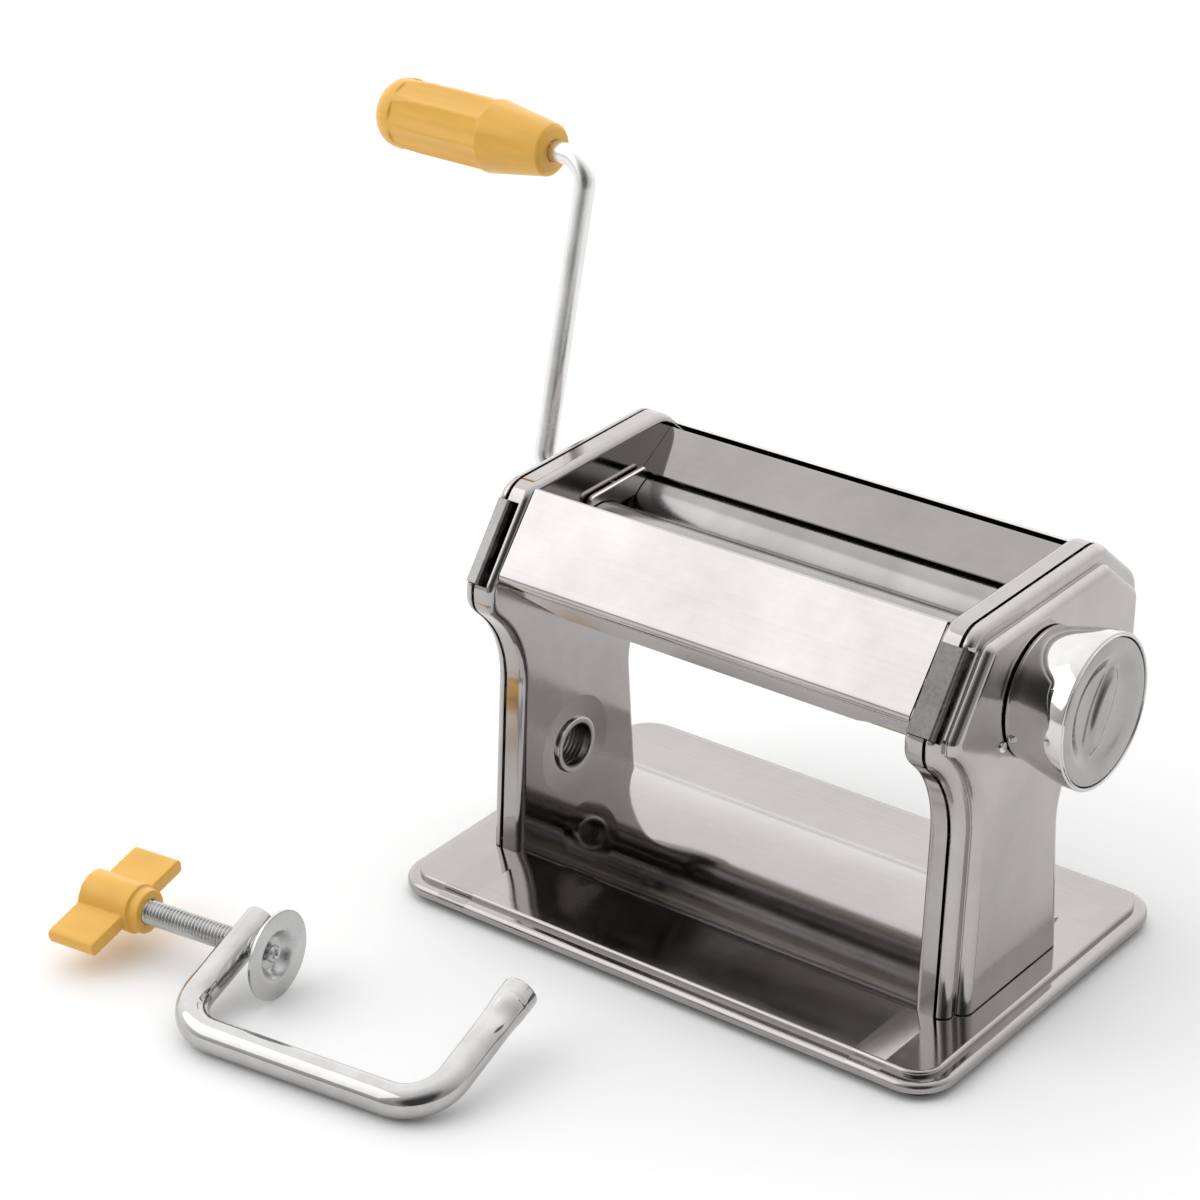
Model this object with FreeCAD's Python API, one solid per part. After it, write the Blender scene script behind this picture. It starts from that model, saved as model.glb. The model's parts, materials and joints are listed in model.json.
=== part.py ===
import FreeCAD, Part
import math
import os
from FreeCAD import Vector, Rotation, Placement

# Hand-cranked pasta roller. X runs along the rollers towards the adjusting knob, Y to the back, Z up.
# The origin is on the table, under the middle of the base. Sizes are in millimetres.

# ---- driving dimensions -------------------------------------------------------------------------
SHEET = 0.8                    # stainless sheet of base, plates and covers
INNER_FACE = 75.0              # half the clear width between the two inner plates
INNER_FLANGE = 81.9            # how far out the inner plate's flange reaches
COVER_SEAM = 83.0              # where the outer cover's flange starts, across a narrow shadow gap
COVER_LEDGE = 86.4             # first step of the outer cover
COVER_FACE = 90.0              # flat outer face of the cover
COVER_STEP = 5.0               # width of the ledge between the two steps

BASE_HALF_X, BASE_HALF_Y = 102.0, 65.0
BASE_CORNER = 13.0
BASE_UNDER = 2.9               # lower edge of the rolled rim above the table
BASE_RIM_TOP = 5.9
BASE_TOP = 7.7
BASE_STEP_IN = 4.1             # how far in the flat top starts
HUMP_Y, HUMP_HALF, HUMP_TOP = 0.9, 34.5, 14.7
HUMP_HALF_X = 82.5             # the hump ends in the gap between inner plate and cover

ROLLER_R = 14.5
ROLLER_HALF = 73.0             # half length of a roller's working surface
ROLLER_GAP = 0.4               # gap between the rollers at rest
AXIS_Z = 101.3
FRONT_Y = 7.8
REAR_Y = FRONT_Y + 2 * ROLLER_R + ROLLER_GAP
FIT = 0.05                     # radial running clearance
GAP_MIN, GAP_MAX = 0.2, 3.2    # thinnest and thickest setting of the roller gap

GEAR_TEETH = 14
GEAR_PITCH_R = (REAR_Y - FRONT_Y) / 2
GEAR_TIP_R = GEAR_PITCH_R + 2.3
GEAR_ROOT_R = GEAR_PITCH_R - 2.9
GEAR_X0, GEAR_X1 = -84.4, -80.0

KNOB_R, KNOB_BACK_R = 24.0, 20.4   # the cup is widest at its face
KNOB_X0, KNOB_X1 = 90.5, 111.5
CAM_LEAD_PER_DEG = 0.01        # travel of the roller carrier for one degree of knob
CAM_REST_R = 11.0
CAM_PIN_R = 1.5
CAM_BACK_DEG = 20.0            # knob travel from rest to the thinnest setting
CAM_OPEN_DEG = 280.0           # knob travel from rest to the thickest setting

CRANK_R = 3.5
CRANK_LEAN = 16.0              # degrees from upright, towards the back
CRANK_ARM = 104.5
CRANK_PLANE_X = -119.5
CRANK_BEND = 9.5
GRIP_X0, GRIP_X1 = -133.5, -203.5

SOCKET_Y, SOCKET_Z, SOCKET_R = -4.0, 34.5, 7.0

CLAMP_ROD_R = 5.2
CLAMP_CORNER = (-100.1, -165.3, 5.3)
CLAMP_YAW, CLAMP_TILT = 6.1, 14.8
CLAMP_WIDTH = 91.4             # between the two arms' axes
CLAMP_SCREW_AT = 35.4          # along the arm
CLAMP_ARM_A, CLAMP_ARM_B = 46.5, 51.0
CLAMP_BEND = 14.0
SCREW_R = 3.9
PLATE_R = 14.2
WING_ROLL = -5.5               # wing's turn about the screw, from the clamp's own plane

TIE_RODS = [(-27.0, 111.0), (59.0, 101.0), (3.0, 79.5)]
TIE_ROD_R = 3.0

# panel outline, seen along X: (y, z, corner radius), counter-clockwise
PANEL = [
    (-34.2, 0.0, 0.0),
    (28.2, 0.0, 0.0),
    (25.8, 62.0, 22.0),
    (66.5, 91.0, 9.0),
    (68.0, 113.5, 10.0),
    (47.0, 132.0, 10.0),
    (-21.0, 132.0, 9.0),
    (-42.2, 105.0, 9.0),
    (-42.2, 97.4, 7.5),
    (-26.8, 81.0, 34.0),
]
COVER_FOOT = BASE_TOP + 0.5    # the covers hang just clear of the base; the inner plates stand on it


# ---- small geometry helpers -----------------------------------------------------------------------
def box(x0, x1, y0, y1, z0, z1):
    return Part.makeBox(x1 - x0, y1 - y0, z1 - z0, Vector(x0, y0, z0))


def rod_x(y, z, r, x0, x1):
    """Cylinder along X."""
    return Part.makeCylinder(r, abs(x1 - x0), Vector(min(x0, x1), y, z), Vector(1, 0, 0))


def tube_x(y, z, r_out, r_in, x0, x1):
    return rod_x(y, z, r_out, x0, x1).cut(rod_x(y, z, r_in, min(x0, x1) - 1, max(x0, x1) + 1))


def corner_arc(a, p, b, r):
    """Start, middle and end of the arc of radius r that rounds corner p of a-p-b."""
    u, v = (a - p).normalize(), (b - p).normalize()
    half = u.getAngle(v) / 2
    reach = r / math.tan(half)
    middle = p + (u + v).normalize() * (r / math.sin(half) - r)
    return p + u * reach, middle, p + v * reach


def rounded_wire(points, closed=True):
    """Wire through (Vector, radius) points, straight between them and an arc at each rounded one."""
    n = len(points)
    edges, here, first = [], None, None
    for i in range(n):
        p, r = points[i]
        if r > 0 and (closed or 0 < i < n - 1):
            start, middle, end = corner_arc(points[i - 1][0], p, points[(i + 1) % n][0], r)
        else:
            start, middle, end = p, None, p
        if here is None:
            first = start
        elif here.distanceToPoint(start) > 1e-6:
            edges.append(Part.LineSegment(here, start).toShape())
        if middle is not None:
            edges.append(Part.Arc(start, middle, end).toShape())
        here = end
    if closed:
        edges.append(Part.LineSegment(here, first).toShape())
    return Part.Wire(edges)


def inset_outline(outline, d):
    """The outline moved inwards by d, its convex radii smaller and its hollow ones larger."""
    n = len(outline)
    moved = []
    for i in range(n):
        a, p, b = outline[i - 1], outline[i], outline[(i + 1) % n]
        e1 = Vector(p[0] - a[0], p[1] - a[1]).normalize()
        e2 = Vector(b[0] - p[0], b[1] - p[1]).normalize()
        n1, n2 = Vector(-e1.y, e1.x), Vector(-e2.y, e2.x)
        turn = e1.x * e2.y - e1.y * e2.x
        shift = (n1 + n2) * (d / (1 + n1.dot(n2)))
        r = p[2] - d if turn > 0 else p[2] + d
        moved.append((p[0] + shift.x, p[1] + shift.y, max(r, 0.3) if p[2] > 0 else 0.0))
    return moved


def prism(outline, x0, x1):
    """Outline in the YZ plane, extruded from x0 to x1."""
    wire = rounded_wire([(Vector(x0, y, z), r) for y, z, r in outline])
    return Part.Face(wire).extrude(Vector(x1 - x0, 0, 0))


def round_off(solid, x, r):
    """Fillet the edges that lie in the plane X = x."""
    edges = [e for e in solid.Edges if all(abs(v.X - x) < 1e-6 for v in e.Vertexes)]
    return solid.makeFillet(r, edges)


def mirrored(shape):
    return shape.mirror(Vector(0, 0, 0), Vector(1, 0, 0))


def swept_rod(points, radius):
    """Round bar along (Vector, bend radius) points."""
    path = rounded_wire(points, closed=False)
    start, ahead = points[0][0], (points[1][0] - points[0][0]).normalize()
    section = Part.Wire(Part.makeCircle(radius, start, ahead))
    return path.makePipeShell([section], True, True)


def hump_solid(drop, half_x):
    """Body of the arched hump of the base, its surface lowered by drop."""
    rise = HUMP_TOP - BASE_TOP
    r = (HUMP_HALF ** 2 + rise ** 2) / (2 * rise)
    bar = rod_x(HUMP_Y, HUMP_TOP - r, r - drop, -half_x, half_x)
    return bar.common(box(-half_x, half_x, -HUMP_HALF - 5, HUMP_HALF + 10, BASE_UNDER, HUMP_TOP + 1))


def foot_cut():
    """Everything below the base's top surface, which the inner plates stand on."""
    slab = box(-120, 120, -80, 80, -10, BASE_TOP)
    return slab.fuse(hump_solid(0.0, HUMP_HALF_X))


# ---- base -----------------------------------------------------------------------------------------
def tray(half_x, half_y, corner, z0, z1, r_top):
    block = box(-half_x, half_x, -half_y, half_y, z0, z1)
    upright = [e for e in block.Edges if abs(e.tangentAt(e.FirstParameter).z) > 0.9]
    block = block.makeFillet(corner, upright)
    rim = [e for e in block.Edges if all(abs(v.Z - z1) < 1e-6 for v in e.Vertexes)]
    return block.makeFillet(r_top, rim)


def base_body(t):
    """The base's outer form moved inwards by the sheet thickness t."""
    low = tray(BASE_HALF_X - t, BASE_HALF_Y - t, BASE_CORNER - t, BASE_UNDER - t * 2, BASE_RIM_TOP - t, 2.0)
    inner = BASE_STEP_IN + t
    top = tray(BASE_HALF_X - inner, BASE_HALF_Y - inner, BASE_CORNER - inner, BASE_UNDER - t * 2,
               BASE_TOP - t, 1.2)
    return low.fuse(top).fuse(hump_solid(t, HUMP_HALF_X - t))


def base_plate():
    return base_body(0.0).cut(base_body(SHEET)).removeSplitter()


def at_corners(shape, dx, dy):
    """Copies of a shape, made at the origin, under the four corners of the base."""
    copies = []
    for sx in (-1, 1):
        for sy in (-1, 1):
            copy = shape.copy()
            copy.translate(Vector(sx * dx, sy * dy, 0))
            copies.append(copy)
    return Part.makeCompound(copies)


FOOT_X, FOOT_Y, FOOT_R = 90.0, 53.0, 9.0
FOOT_TOP = BASE_TOP - SHEET
FOOT_SHOULDER = 4.6


def base_feet():
    """Rubber feet: a wide tread and a narrower neck that reaches up to the sheet."""
    foot = Part.makeCone(FOOT_R - 0.9, FOOT_R, FOOT_SHOULDER)
    foot = foot.fuse(Part.makeCylinder(5.2, FOOT_TOP))
    foot = foot.cut(Part.makeCylinder(3.4, 2.6)).cut(Part.makeCylinder(1.6, FOOT_TOP + 1))
    return at_corners(foot, FOOT_X, FOOT_Y)


def foot_screws():
    """Pan-head screws that hold the feet; their points end inside the sheet."""
    head = Part.makeCylinder(3.0, 1.6, Vector(0, 0, 0.9))
    shank = Part.makeCylinder(1.55, FOOT_TOP - 2.5, Vector(0, 0, 2.5))
    slot = box(-3.2, 3.2, -0.4, 0.4, 0.8, 1.5)
    return at_corners(head.fuse(shank).cut(slot), FOOT_X, FOOT_Y)


# ---- side plates and covers -------------------------------------------------------------------------
def pan(outline, back_x, face_x, bend):
    """Solid of a pressed pan: outline from back_x to face_x, rounded at its face."""
    return round_off(prism(outline, back_x, face_x), face_x, bend)


def inner_plate():
    """Right-hand inner plate, without its holes."""
    outer = pan(PANEL, INNER_FLANGE, INNER_FACE, 2.4)
    hollow = pan(inset_outline(PANEL, SHEET), INNER_FLANGE + 1, INNER_FACE + SHEET, 1.6)
    return outer.cut(hollow).cut(foot_cut())


def outer_cover():
    """Right-hand outer cover, stepped once around its border."""
    step_in = inset_outline(PANEL, COVER_STEP)
    outer = pan(PANEL, COVER_SEAM, COVER_LEDGE, 3.0).fuse(pan(step_in, COVER_SEAM, COVER_FACE, 3.3))
    low = pan(inset_outline(PANEL, SHEET), COVER_SEAM - 1, COVER_LEDGE - SHEET, 2.2)
    high = pan(inset_outline(PANEL, COVER_STEP + SHEET), COVER_SEAM - 1, COVER_FACE - SHEET, 2.5)
    return outer.cut(low.fuse(high)).cut(box(0, 120, -80, 80, -10, COVER_FOOT))


def travel_slot(y, z, r, x0, x1):
    """Slot for a round neck that moves with the front roller."""
    back, ahead = GAP_MAX - ROLLER_GAP, ROLLER_GAP - GAP_MIN
    bar = rod_x(y - back, z, r, x0, x1).fuse(rod_x(y + ahead, z, r, x0, x1))
    return bar.fuse(box(x0, x1, y - back, y + ahead, z - r, z + r))


NECK_R = 8.0
SHAFT_R = 7.0
YOKE_Y, YOKE_Z, YOKE_R = -14.0, 97.0, 3.0
BUSH_R = 9.5


def plate_holes():
    cuts = [rod_x(REAR_Y, AXIS_Z, BUSH_R, 70, 85), travel_slot(FRONT_Y, AXIS_Z, NECK_R + 0.6, 70, 85)]
    cuts.append(travel_slot(YOKE_Y, YOKE_Z, YOKE_R + 0.4, 70, 85))
    cuts += [rod_x(y, z, TIE_ROD_R + 0.1, 70, 85) for y, z in TIE_RODS]
    return cuts


def right_inner_plate():
    plate = inner_plate()
    for hole in plate_holes():
        plate = plate.cut(hole)
    return plate.cut(rail_pocket(RIGHT_POCKET))


def left_inner_plate():
    plate = mirrored(inner_plate())
    for hole in plate_holes():
        plate = plate.cut(mirrored(hole))
    plate = plate.cut(rod_x(SOCKET_Y, SOCKET_Z, SOCKET_R + 1.2, -85, -70))
    return plate.cut(rail_pocket(LEFT_POCKET))


def right_outer_cover():
    cover = outer_cover().cut(rod_x(FRONT_Y, AXIS_Z, 8.0, 80, 95))
    return cover.cut(rail_pocket(RIGHT_POCKET)).cut(rod_x(PIN_Y, PIN_Z, 1.0, 80, 95))


def left_outer_cover():
    cover = mirrored(outer_cover()).cut(rod_x(REAR_Y, AXIS_Z, 8.5, -95, -80))
    cover = cover.cut(rod_x(SOCKET_Y, SOCKET_Z, SOCKET_R + 1.2, -95, -80))
    return cover.cut(rail_pocket(LEFT_POCKET))


# ---- slanted front: attachment rails, cover, hopper --------------------------------------------------
SLOPE_LOW, SLOPE_HIGH = Vector(0, -42.2, 105.0), Vector(0, -21.0, 132.0)
SLOPE_DIR = (SLOPE_HIGH - SLOPE_LOW).normalize()
SLOPE_OUT = Vector(0, -SLOPE_DIR.z, SLOPE_DIR.y)
RAIL_FROM, RAIL_TO = 1.0, 28.4
RAIL_PROUD = 1.3
RIGHT_RAIL, RIGHT_POCKET = (76.3, 85.0), (76.1, 88.0)
LEFT_RAIL, LEFT_POCKET = (-84.8, -80.4), (-85.0, -77.4)


def sloped_block(x0, x1, s0, s1, h0, h1):
    """Block on the slanted front: s along the slope from its lower corner, h outwards from it."""
    corners = [(s0, h0), (s1, h0), (s1, h1), (s0, h1)]
    points = [SLOPE_LOW + SLOPE_DIR * s + SLOPE_OUT * h + Vector(x0, 0, 0) for s, h in corners]
    return Part.Face(Part.makePolygon(points + points[:1])).extrude(Vector(x1 - x0, 0, 0))


def rail_pocket(span):
    return sloped_block(span[0], span[1], RAIL_FROM - 0.2, RAIL_TO + 0.2, -3.0, 4.0)


def attachment_rail(span):
    """Steel rail that a cutter head slides down on, with its foot behind the sheet."""
    bar = sloped_block(span[0], span[1], RAIL_FROM, RAIL_TO, -1.6, RAIL_PROUD)
    long_edges = [e for e in bar.Edges
                  if e.Length > 20 and (e.CenterOfMass - SLOPE_LOW).dot(SLOPE_OUT) > RAIL_PROUD - 0.1]
    return bar.makeFillet(0.9, long_edges)


def folded_sheet(points, t):
    """Closed outline of a folded sheet: (y, z, radius) points and the same line moved by t to the left."""
    n = len(points)
    moved = []
    for i in range(n):
        here = Vector(points[i][0], points[i][1])
        before = (here - Vector(*points[i - 1][:2])).normalize() if i else None
        after = (Vector(*points[i + 1][:2]) - here).normalize() if i < n - 1 else None
        e1, e2 = before or after, after or before
        n1, n2 = Vector(-e1.y, e1.x), Vector(-e2.y, e2.x)
        there = here + (n1 + n2) * (t / (1 + n1.dot(n2)))
        left_turn = 1 if e1.x * e2.y - e1.y * e2.x > 0 else -1
        r = points[i][2]
        moved.append((there.x, there.y, max(r - t * left_turn, 0.2) if r else 0.0))
    return list(points) + moved[::-1]


def front_cover():
    """Bright slanted cover with a hem at its top and a lip folded back underneath."""
    line = [(-34.0, 104.7, 0), (-40.2, 106.8, 2.6), (-19.3, 131.5, 0.9), (-16.6, 129.2, 0)]
    return prism(folded_sheet(line, -SHEET), -INNER_FACE + 0.1, INNER_FACE - 0.1)


def front_apron():
    """Narrow drip strip under the cover's lip; its lower corners are cut away towards the plates."""
    line = [(-27.0, 103.6, 0), (-33.0, 103.6, 1.4), (-33.0, 98.4, 0)]
    strip = prism(folded_sheet(line, SHEET), -INNER_FACE + 0.1, INNER_FACE - 0.1)
    reach = 22.0
    wedge = Part.makePolygon([Vector(INNER_FACE - reach, -40, 98.3), Vector(INNER_FACE + 1, -40, 98.3),
                              Vector(INNER_FACE + 1, -40, 102.4), Vector(INNER_FACE - reach, -40, 98.3)])
    corner = Part.Face(wedge).extrude(Vector(0, 20, 0))
    return strip.cut(corner).cut(mirrored(corner))


HOPPER_LOW, HOPPER_HIGH = (33.3, 117.3), (49.2, 126.5)


def hopper_plate():
    """Slanted plate that the dough is laid on, hemmed along its top edge."""
    line = [(*HOPPER_LOW, 0), (*HOPPER_HIGH, 0.9), (50.9, 124.4, 0)]
    return prism(folded_sheet(line, -SHEET), -INNER_FACE + 0.1, INNER_FACE - 0.1)


def rear_cover():
    """Cover behind the rear roller, from the hopper's hem down to a lip below the roller's axis."""
    line = [(51.3, 127.6, 0), (65.2, 114.6, 4.0), (65.9, 95.0, 2.4), (59.0, 91.5, 0)]
    return prism(folded_sheet(line, -SHEET), -INNER_FACE + 0.1, INNER_FACE - 0.1)


def dough_guide():
    """Right-hand cheek that keeps the dough off the ends of the rollers; its upper rim is rounded."""
    cheek = prism([(3.0, 112.0, 0), (32.7, 112.0, 0), (32.7, 119.3, 1.0), (4.5, 119.3, 2.5)],
                  INNER_FACE - 2.6, INNER_FACE - 0.8)
    rim = [e for e in cheek.Edges if e.Length > 20 and e.CenterOfMass.z > 119]
    cheek = cheek.makeFillet(0.7, rim)
    cheek = cheek.cut(rod_x(REAR_Y, AXIS_Z, ROLLER_R + 0.4, 60, 76))
    cheek = cheek.cut(travel_slot(FRONT_Y, AXIS_Z, ROLLER_R + 0.4, 60, 76))
    post = rod_x(20.0, 117.0, 1.2, INNER_FACE - 0.8, INNER_FACE)
    return cheek.fuse(post)


def clamp_socket():
    """Flanged steel tube through the left-hand plate and cover, which takes the clamp's upper arm."""
    tube = tube_x(SOCKET_Y, SOCKET_Z, SOCKET_R + 1.2, SOCKET_R, -COVER_FACE - 0.6, -INNER_FACE + 0.8)
    collar = tube_x(SOCKET_Y, SOCKET_Z, SOCKET_R + 2.4, SOCKET_R + 1.2, -INNER_FACE, -INNER_FACE + 0.8)
    return tube.fuse(collar)


# ---- cross members and fasteners ----------------------------------------------------------------------
def tie_rods():
    """Shouldered cross rods that set the distance between the inner plates."""
    rods = []
    for y, z in TIE_RODS:
        bar = rod_x(y, z, TIE_ROD_R + 1.0, -INNER_FACE, INNER_FACE)
        rods.append(bar.fuse(rod_x(y, z, TIE_ROD_R, -INNER_FACE - 4.4, INNER_FACE + 4.4)))
    return Part.makeCompound(rods)


def hex_nut(y, z, x0, x1, across, hole):
    ring = [Vector(x0, y + across / math.sqrt(3) * math.cos(a), z + across / math.sqrt(3) * math.sin(a))
            for a in [math.radians(60 * k) for k in range(6)]]
    nut = Part.Face(Part.makePolygon(ring + ring[:1])).extrude(Vector(x1 - x0, 0, 0))
    return nut.cut(rod_x(y, z, hole, min(x0, x1) - 1, max(x0, x1) + 1))


def tie_rod_nuts():
    nuts = []
    for y, z in TIE_RODS:
        nut = hex_nut(y, z, INNER_FACE + SHEET, INNER_FACE + SHEET + 2.4, 8.0, TIE_ROD_R)
        nuts += [nut, mirrored(nut)]
    return Part.makeCompound(nuts)


def cover_posts():
    """Distance posts riveted between each inner plate and its outer cover."""
    posts = []
    for y, z in ((-17.4, 60.0), (16.0, 27.0), (-29.6, 100.0), (55.2, 110.8)):
        post = rod_x(y, z, 2.5, INNER_FACE + SHEET, COVER_FACE - SHEET)
        posts += [post, mirrored(post)]
    return Part.makeCompound(posts)


LEG_TAB_Y = (-19.0, 14.0)
LEG_SCREW_X = 86.0


def leg_brackets():
    """Angles inside each outer cover that screw down to the base."""
    back = COVER_FACE - SHEET
    parts = []
    for y in LEG_TAB_Y:
        flat = box(HUMP_HALF_X + 0.3, back, y - 5, y + 5, BASE_TOP, BASE_TOP + 1.5)
        upright = box(back - 1.5, back, y - 5, y + 5, BASE_TOP, BASE_TOP + 12)
        bracket = flat.fuse(upright)
        bracket = bracket.cut(Part.makeCylinder(2.0, 10, Vector(LEG_SCREW_X, y, BASE_TOP - 4)))
        parts += [bracket, mirrored(bracket)]
    return Part.makeCompound(parts)


def leg_screws():
    screws = []
    for y in LEG_TAB_Y:
        head = Part.makeCylinder(3.6, 2.2, Vector(LEG_SCREW_X, y, BASE_TOP - SHEET - 2.2))
        shank = Part.makeCylinder(1.95, 5.0, Vector(LEG_SCREW_X, y, BASE_TOP - SHEET))
        screw = head.fuse(shank)
        screws += [screw, mirrored(screw)]
    return Part.makeCompound(screws)


def drilled_base():
    base = base_plate()
    for y in LEG_TAB_Y:
        hole = Part.makeCylinder(2.0, 10, Vector(LEG_SCREW_X, y, 2.0))
        base = base.cut(hole).cut(mirrored(hole))
    return base


# ---- rollers, gears, bearings --------------------------------------------------------------------------
def roller(y, neck_r, left_end, right_end):
    """Plain steel roller with a chamfer at each end of its working surface and a neck at each side."""
    body = rod_x(y, AXIS_Z, ROLLER_R, -ROLLER_HALF, ROLLER_HALF)
    rims = [e for e in body.Edges if e.Length > ROLLER_R * 2]
    body = body.makeChamfer(0.5, rims)
    return body.fuse(rod_x(y, AXIS_Z, neck_r, left_end, right_end))


SOCKET_SQUARE = 5.75
TIP_SQUARE = 5.6
SHAFT_END = -88.6
TIP_END = -72.0
TIP_START = SHAFT_END - 0.4       # where the crank's round bar ends and its square tip starts


def square_bar(half, x0, x1):
    return box(x0, x1, REAR_Y - half, REAR_Y + half, AXIS_Z - half, AXIS_Z + half)


def rear_roller():
    body = roller(REAR_Y, SHAFT_R, SHAFT_END, 82.0)
    groove = tube_x(REAR_Y, AXIS_Z, SHAFT_R + 1, SHAFT_R - 0.8, 79.6, 80.7)
    socket = square_bar(SOCKET_SQUARE / 2, SHAFT_END - 1, TIP_END + 1.0)
    return body.cut(groove).cut(socket)


def rear_retaining_ring():
    """Open spring ring in the groove at the shaft's right-hand end."""
    ring = tube_x(REAR_Y, AXIS_Z, SHAFT_R + 1.9, SHAFT_R - 0.75, 79.65, 80.65)
    return ring.cut(box(79, 81, REAR_Y - 2.0, REAR_Y + 2.0, AXIS_Z - 12, AXIS_Z))


def front_roller():
    return roller(FRONT_Y, NECK_R, GEAR_X0, 79.6)


def involute(base_r, t, turn):
    """Point of an involute of the base circle at roll angle t, turned by the angle turn."""
    y = base_r * (math.cos(t) + t * math.sin(t))
    z = base_r * (math.sin(t) - t * math.cos(t))
    return Vector(0, y * math.cos(turn) - z * math.sin(turn), y * math.sin(turn) + z * math.cos(turn))


def gear(y, first_tooth, bore):
    """Spur gear with tall involute teeth; first_tooth is the direction of one tooth's middle."""
    base_r = GEAR_PITCH_R * math.cos(math.radians(20))
    roll = math.sqrt((GEAR_PITCH_R / base_r) ** 2 - 1)
    half_tooth = 0.46 * math.pi / GEAR_TEETH
    lean = half_tooth + roll - math.atan(roll)
    tip_roll = math.sqrt((GEAR_TIP_R / base_r) ** 2 - 1)
    blank = Part.makeCylinder(GEAR_ROOT_R + 0.05, GEAR_X1 - GEAR_X0, Vector(GEAR_X0, 0, 0), Vector(1, 0, 0))
    flank = [involute(base_r, tip_roll * k / 5, -lean) for k in range(6)]
    mirror = [Vector(0, p.y, -p.z) for p in flank]
    foot = Vector(0, (GEAR_ROOT_R - 0.3) * math.cos(lean), (GEAR_ROOT_R - 0.3) * math.sin(lean))
    low, high = Vector(0, foot.y, -foot.z), foot
    right, left = Part.BSplineCurve(), Part.BSplineCurve()
    right.interpolate(flank)
    left.interpolate(mirror[::-1])
    edges = [Part.LineSegment(low, flank[0]).toShape(), right.toShape(),
             Part.Arc(flank[-1], Vector(0, GEAR_TIP_R, 0), mirror[-1]).toShape(), left.toShape(),
             Part.LineSegment(mirror[0], high).toShape(), Part.LineSegment(high, low).toShape()]
    tooth = Part.Face(Part.Wire(edges)).extrude(Vector(GEAR_X1 - GEAR_X0, 0, 0))
    tooth.translate(Vector(GEAR_X0, 0, 0))
    teeth = []
    for k in range(GEAR_TEETH):
        copy = tooth.copy()
        angle = first_tooth + 360.0 * k / GEAR_TEETH
        copy.rotate(Vector(0, 0, 0), Vector(1, 0, 0), angle)
        teeth.append(copy)
    wheel = blank.multiFuse(teeth).removeSplitter()
    wheel = wheel.cut(rod_x(0, 0, bore, GEAR_X0 - 1, GEAR_X1 + 1))
    wheel.translate(Vector(0, y, AXIS_Z))
    return wheel


def rear_bushes():
    """Flanged bearing bushes of the rear roller, pressed into the inner plates."""
    bush = tube_x(REAR_Y, AXIS_Z, BUSH_R, SHAFT_R + FIT, INNER_FACE - 0.8, INNER_FACE + 4.2)
    flange = tube_x(REAR_Y, AXIS_Z, BUSH_R + 1.5, SHAFT_R + FIT, INNER_FACE - 1.6, INNER_FACE)
    bush = bush.fuse(flange)
    return Part.makeCompound([bush, mirrored(bush)])


BLOCK_X0, BLOCK_X1 = 76.0, 79.4
BLOCK_HALF_Z = 12.0


def bearing_block():
    """Right-hand sliding bearing block of the front roller."""
    block = box(BLOCK_X0, BLOCK_X1, YOKE_Y - 5.0, FRONT_Y + 11.0, AXIS_Z - BLOCK_HALF_Z, AXIS_Z + BLOCK_HALF_Z)
    corners = [e for e in block.Edges if abs(e.tangentAt(e.FirstParameter).x) > 0.9]
    block = block.makeFillet(2.0, corners)
    block = block.cut(rod_x(FRONT_Y, AXIS_Z, NECK_R + FIT, 70, 85))
    return block.cut(rod_x(YOKE_Y, YOKE_Z, YOKE_R, 70, 85))


def carrier_yoke():
    """Bar that ties the two bearing blocks together, so that both ends of the roller move alike."""
    return rod_x(YOKE_Y, YOKE_Z, YOKE_R, -BLOCK_X1, BLOCK_X1)


def bearing_guides():
    """Strips above and below each block, which it slides between."""
    strips = []
    for z0 in (AXIS_Z + BLOCK_HALF_Z + 0.1, AXIS_Z - BLOCK_HALF_Z - 3.1):
        strip = box(INNER_FACE + SHEET, BLOCK_X1 + 0.2, YOKE_Y - 8.0, FRONT_Y + 12.0, z0, z0 + 3.0)
        strips += [strip, mirrored(strip)]
    return Part.makeCompound(strips)


# ---- adjusting knob --------------------------------------------------------------------------------------
CAM_X0, CAM_X1 = 80.6, 82.6
CAM_R = 16.6
ADJUST_SHAFT_R = 5.0
ADJUST_SHAFT_END = 104.0
SHAFT_FLAT = 4.0               # half the distance between the shaft's two flats


def cam_follower():
    """Pin on the right-hand bearing block that runs in the cam's spiral slot."""
    return rod_x(FRONT_Y - CAM_REST_R, AXIS_Z, CAM_PIN_R, BLOCK_X1, CAM_X1 + 0.8)


def spiral_edge(side, reach):
    """One wall of the cam's spiral slot; side is +1 or -1, reach the angle added at each end."""
    steps = 30
    lo, hi = -CAM_OPEN_DEG - reach, CAM_BACK_DEG + reach
    points = []
    for k in range(steps + 1):
        turn = lo + (hi - lo) * k / steps
        r = CAM_REST_R - CAM_LEAD_PER_DEG * turn + side * (CAM_PIN_R + 0.12)
        a = math.radians(180.0 + turn)
        points.append(Vector(CAM_X0 - 0.5, FRONT_Y + r * math.cos(a), AXIS_Z + r * math.sin(a)))
    curve = Part.BSplineCurve()
    curve.interpolate(points)
    return curve.toShape(), points[0], points[-1]


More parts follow.
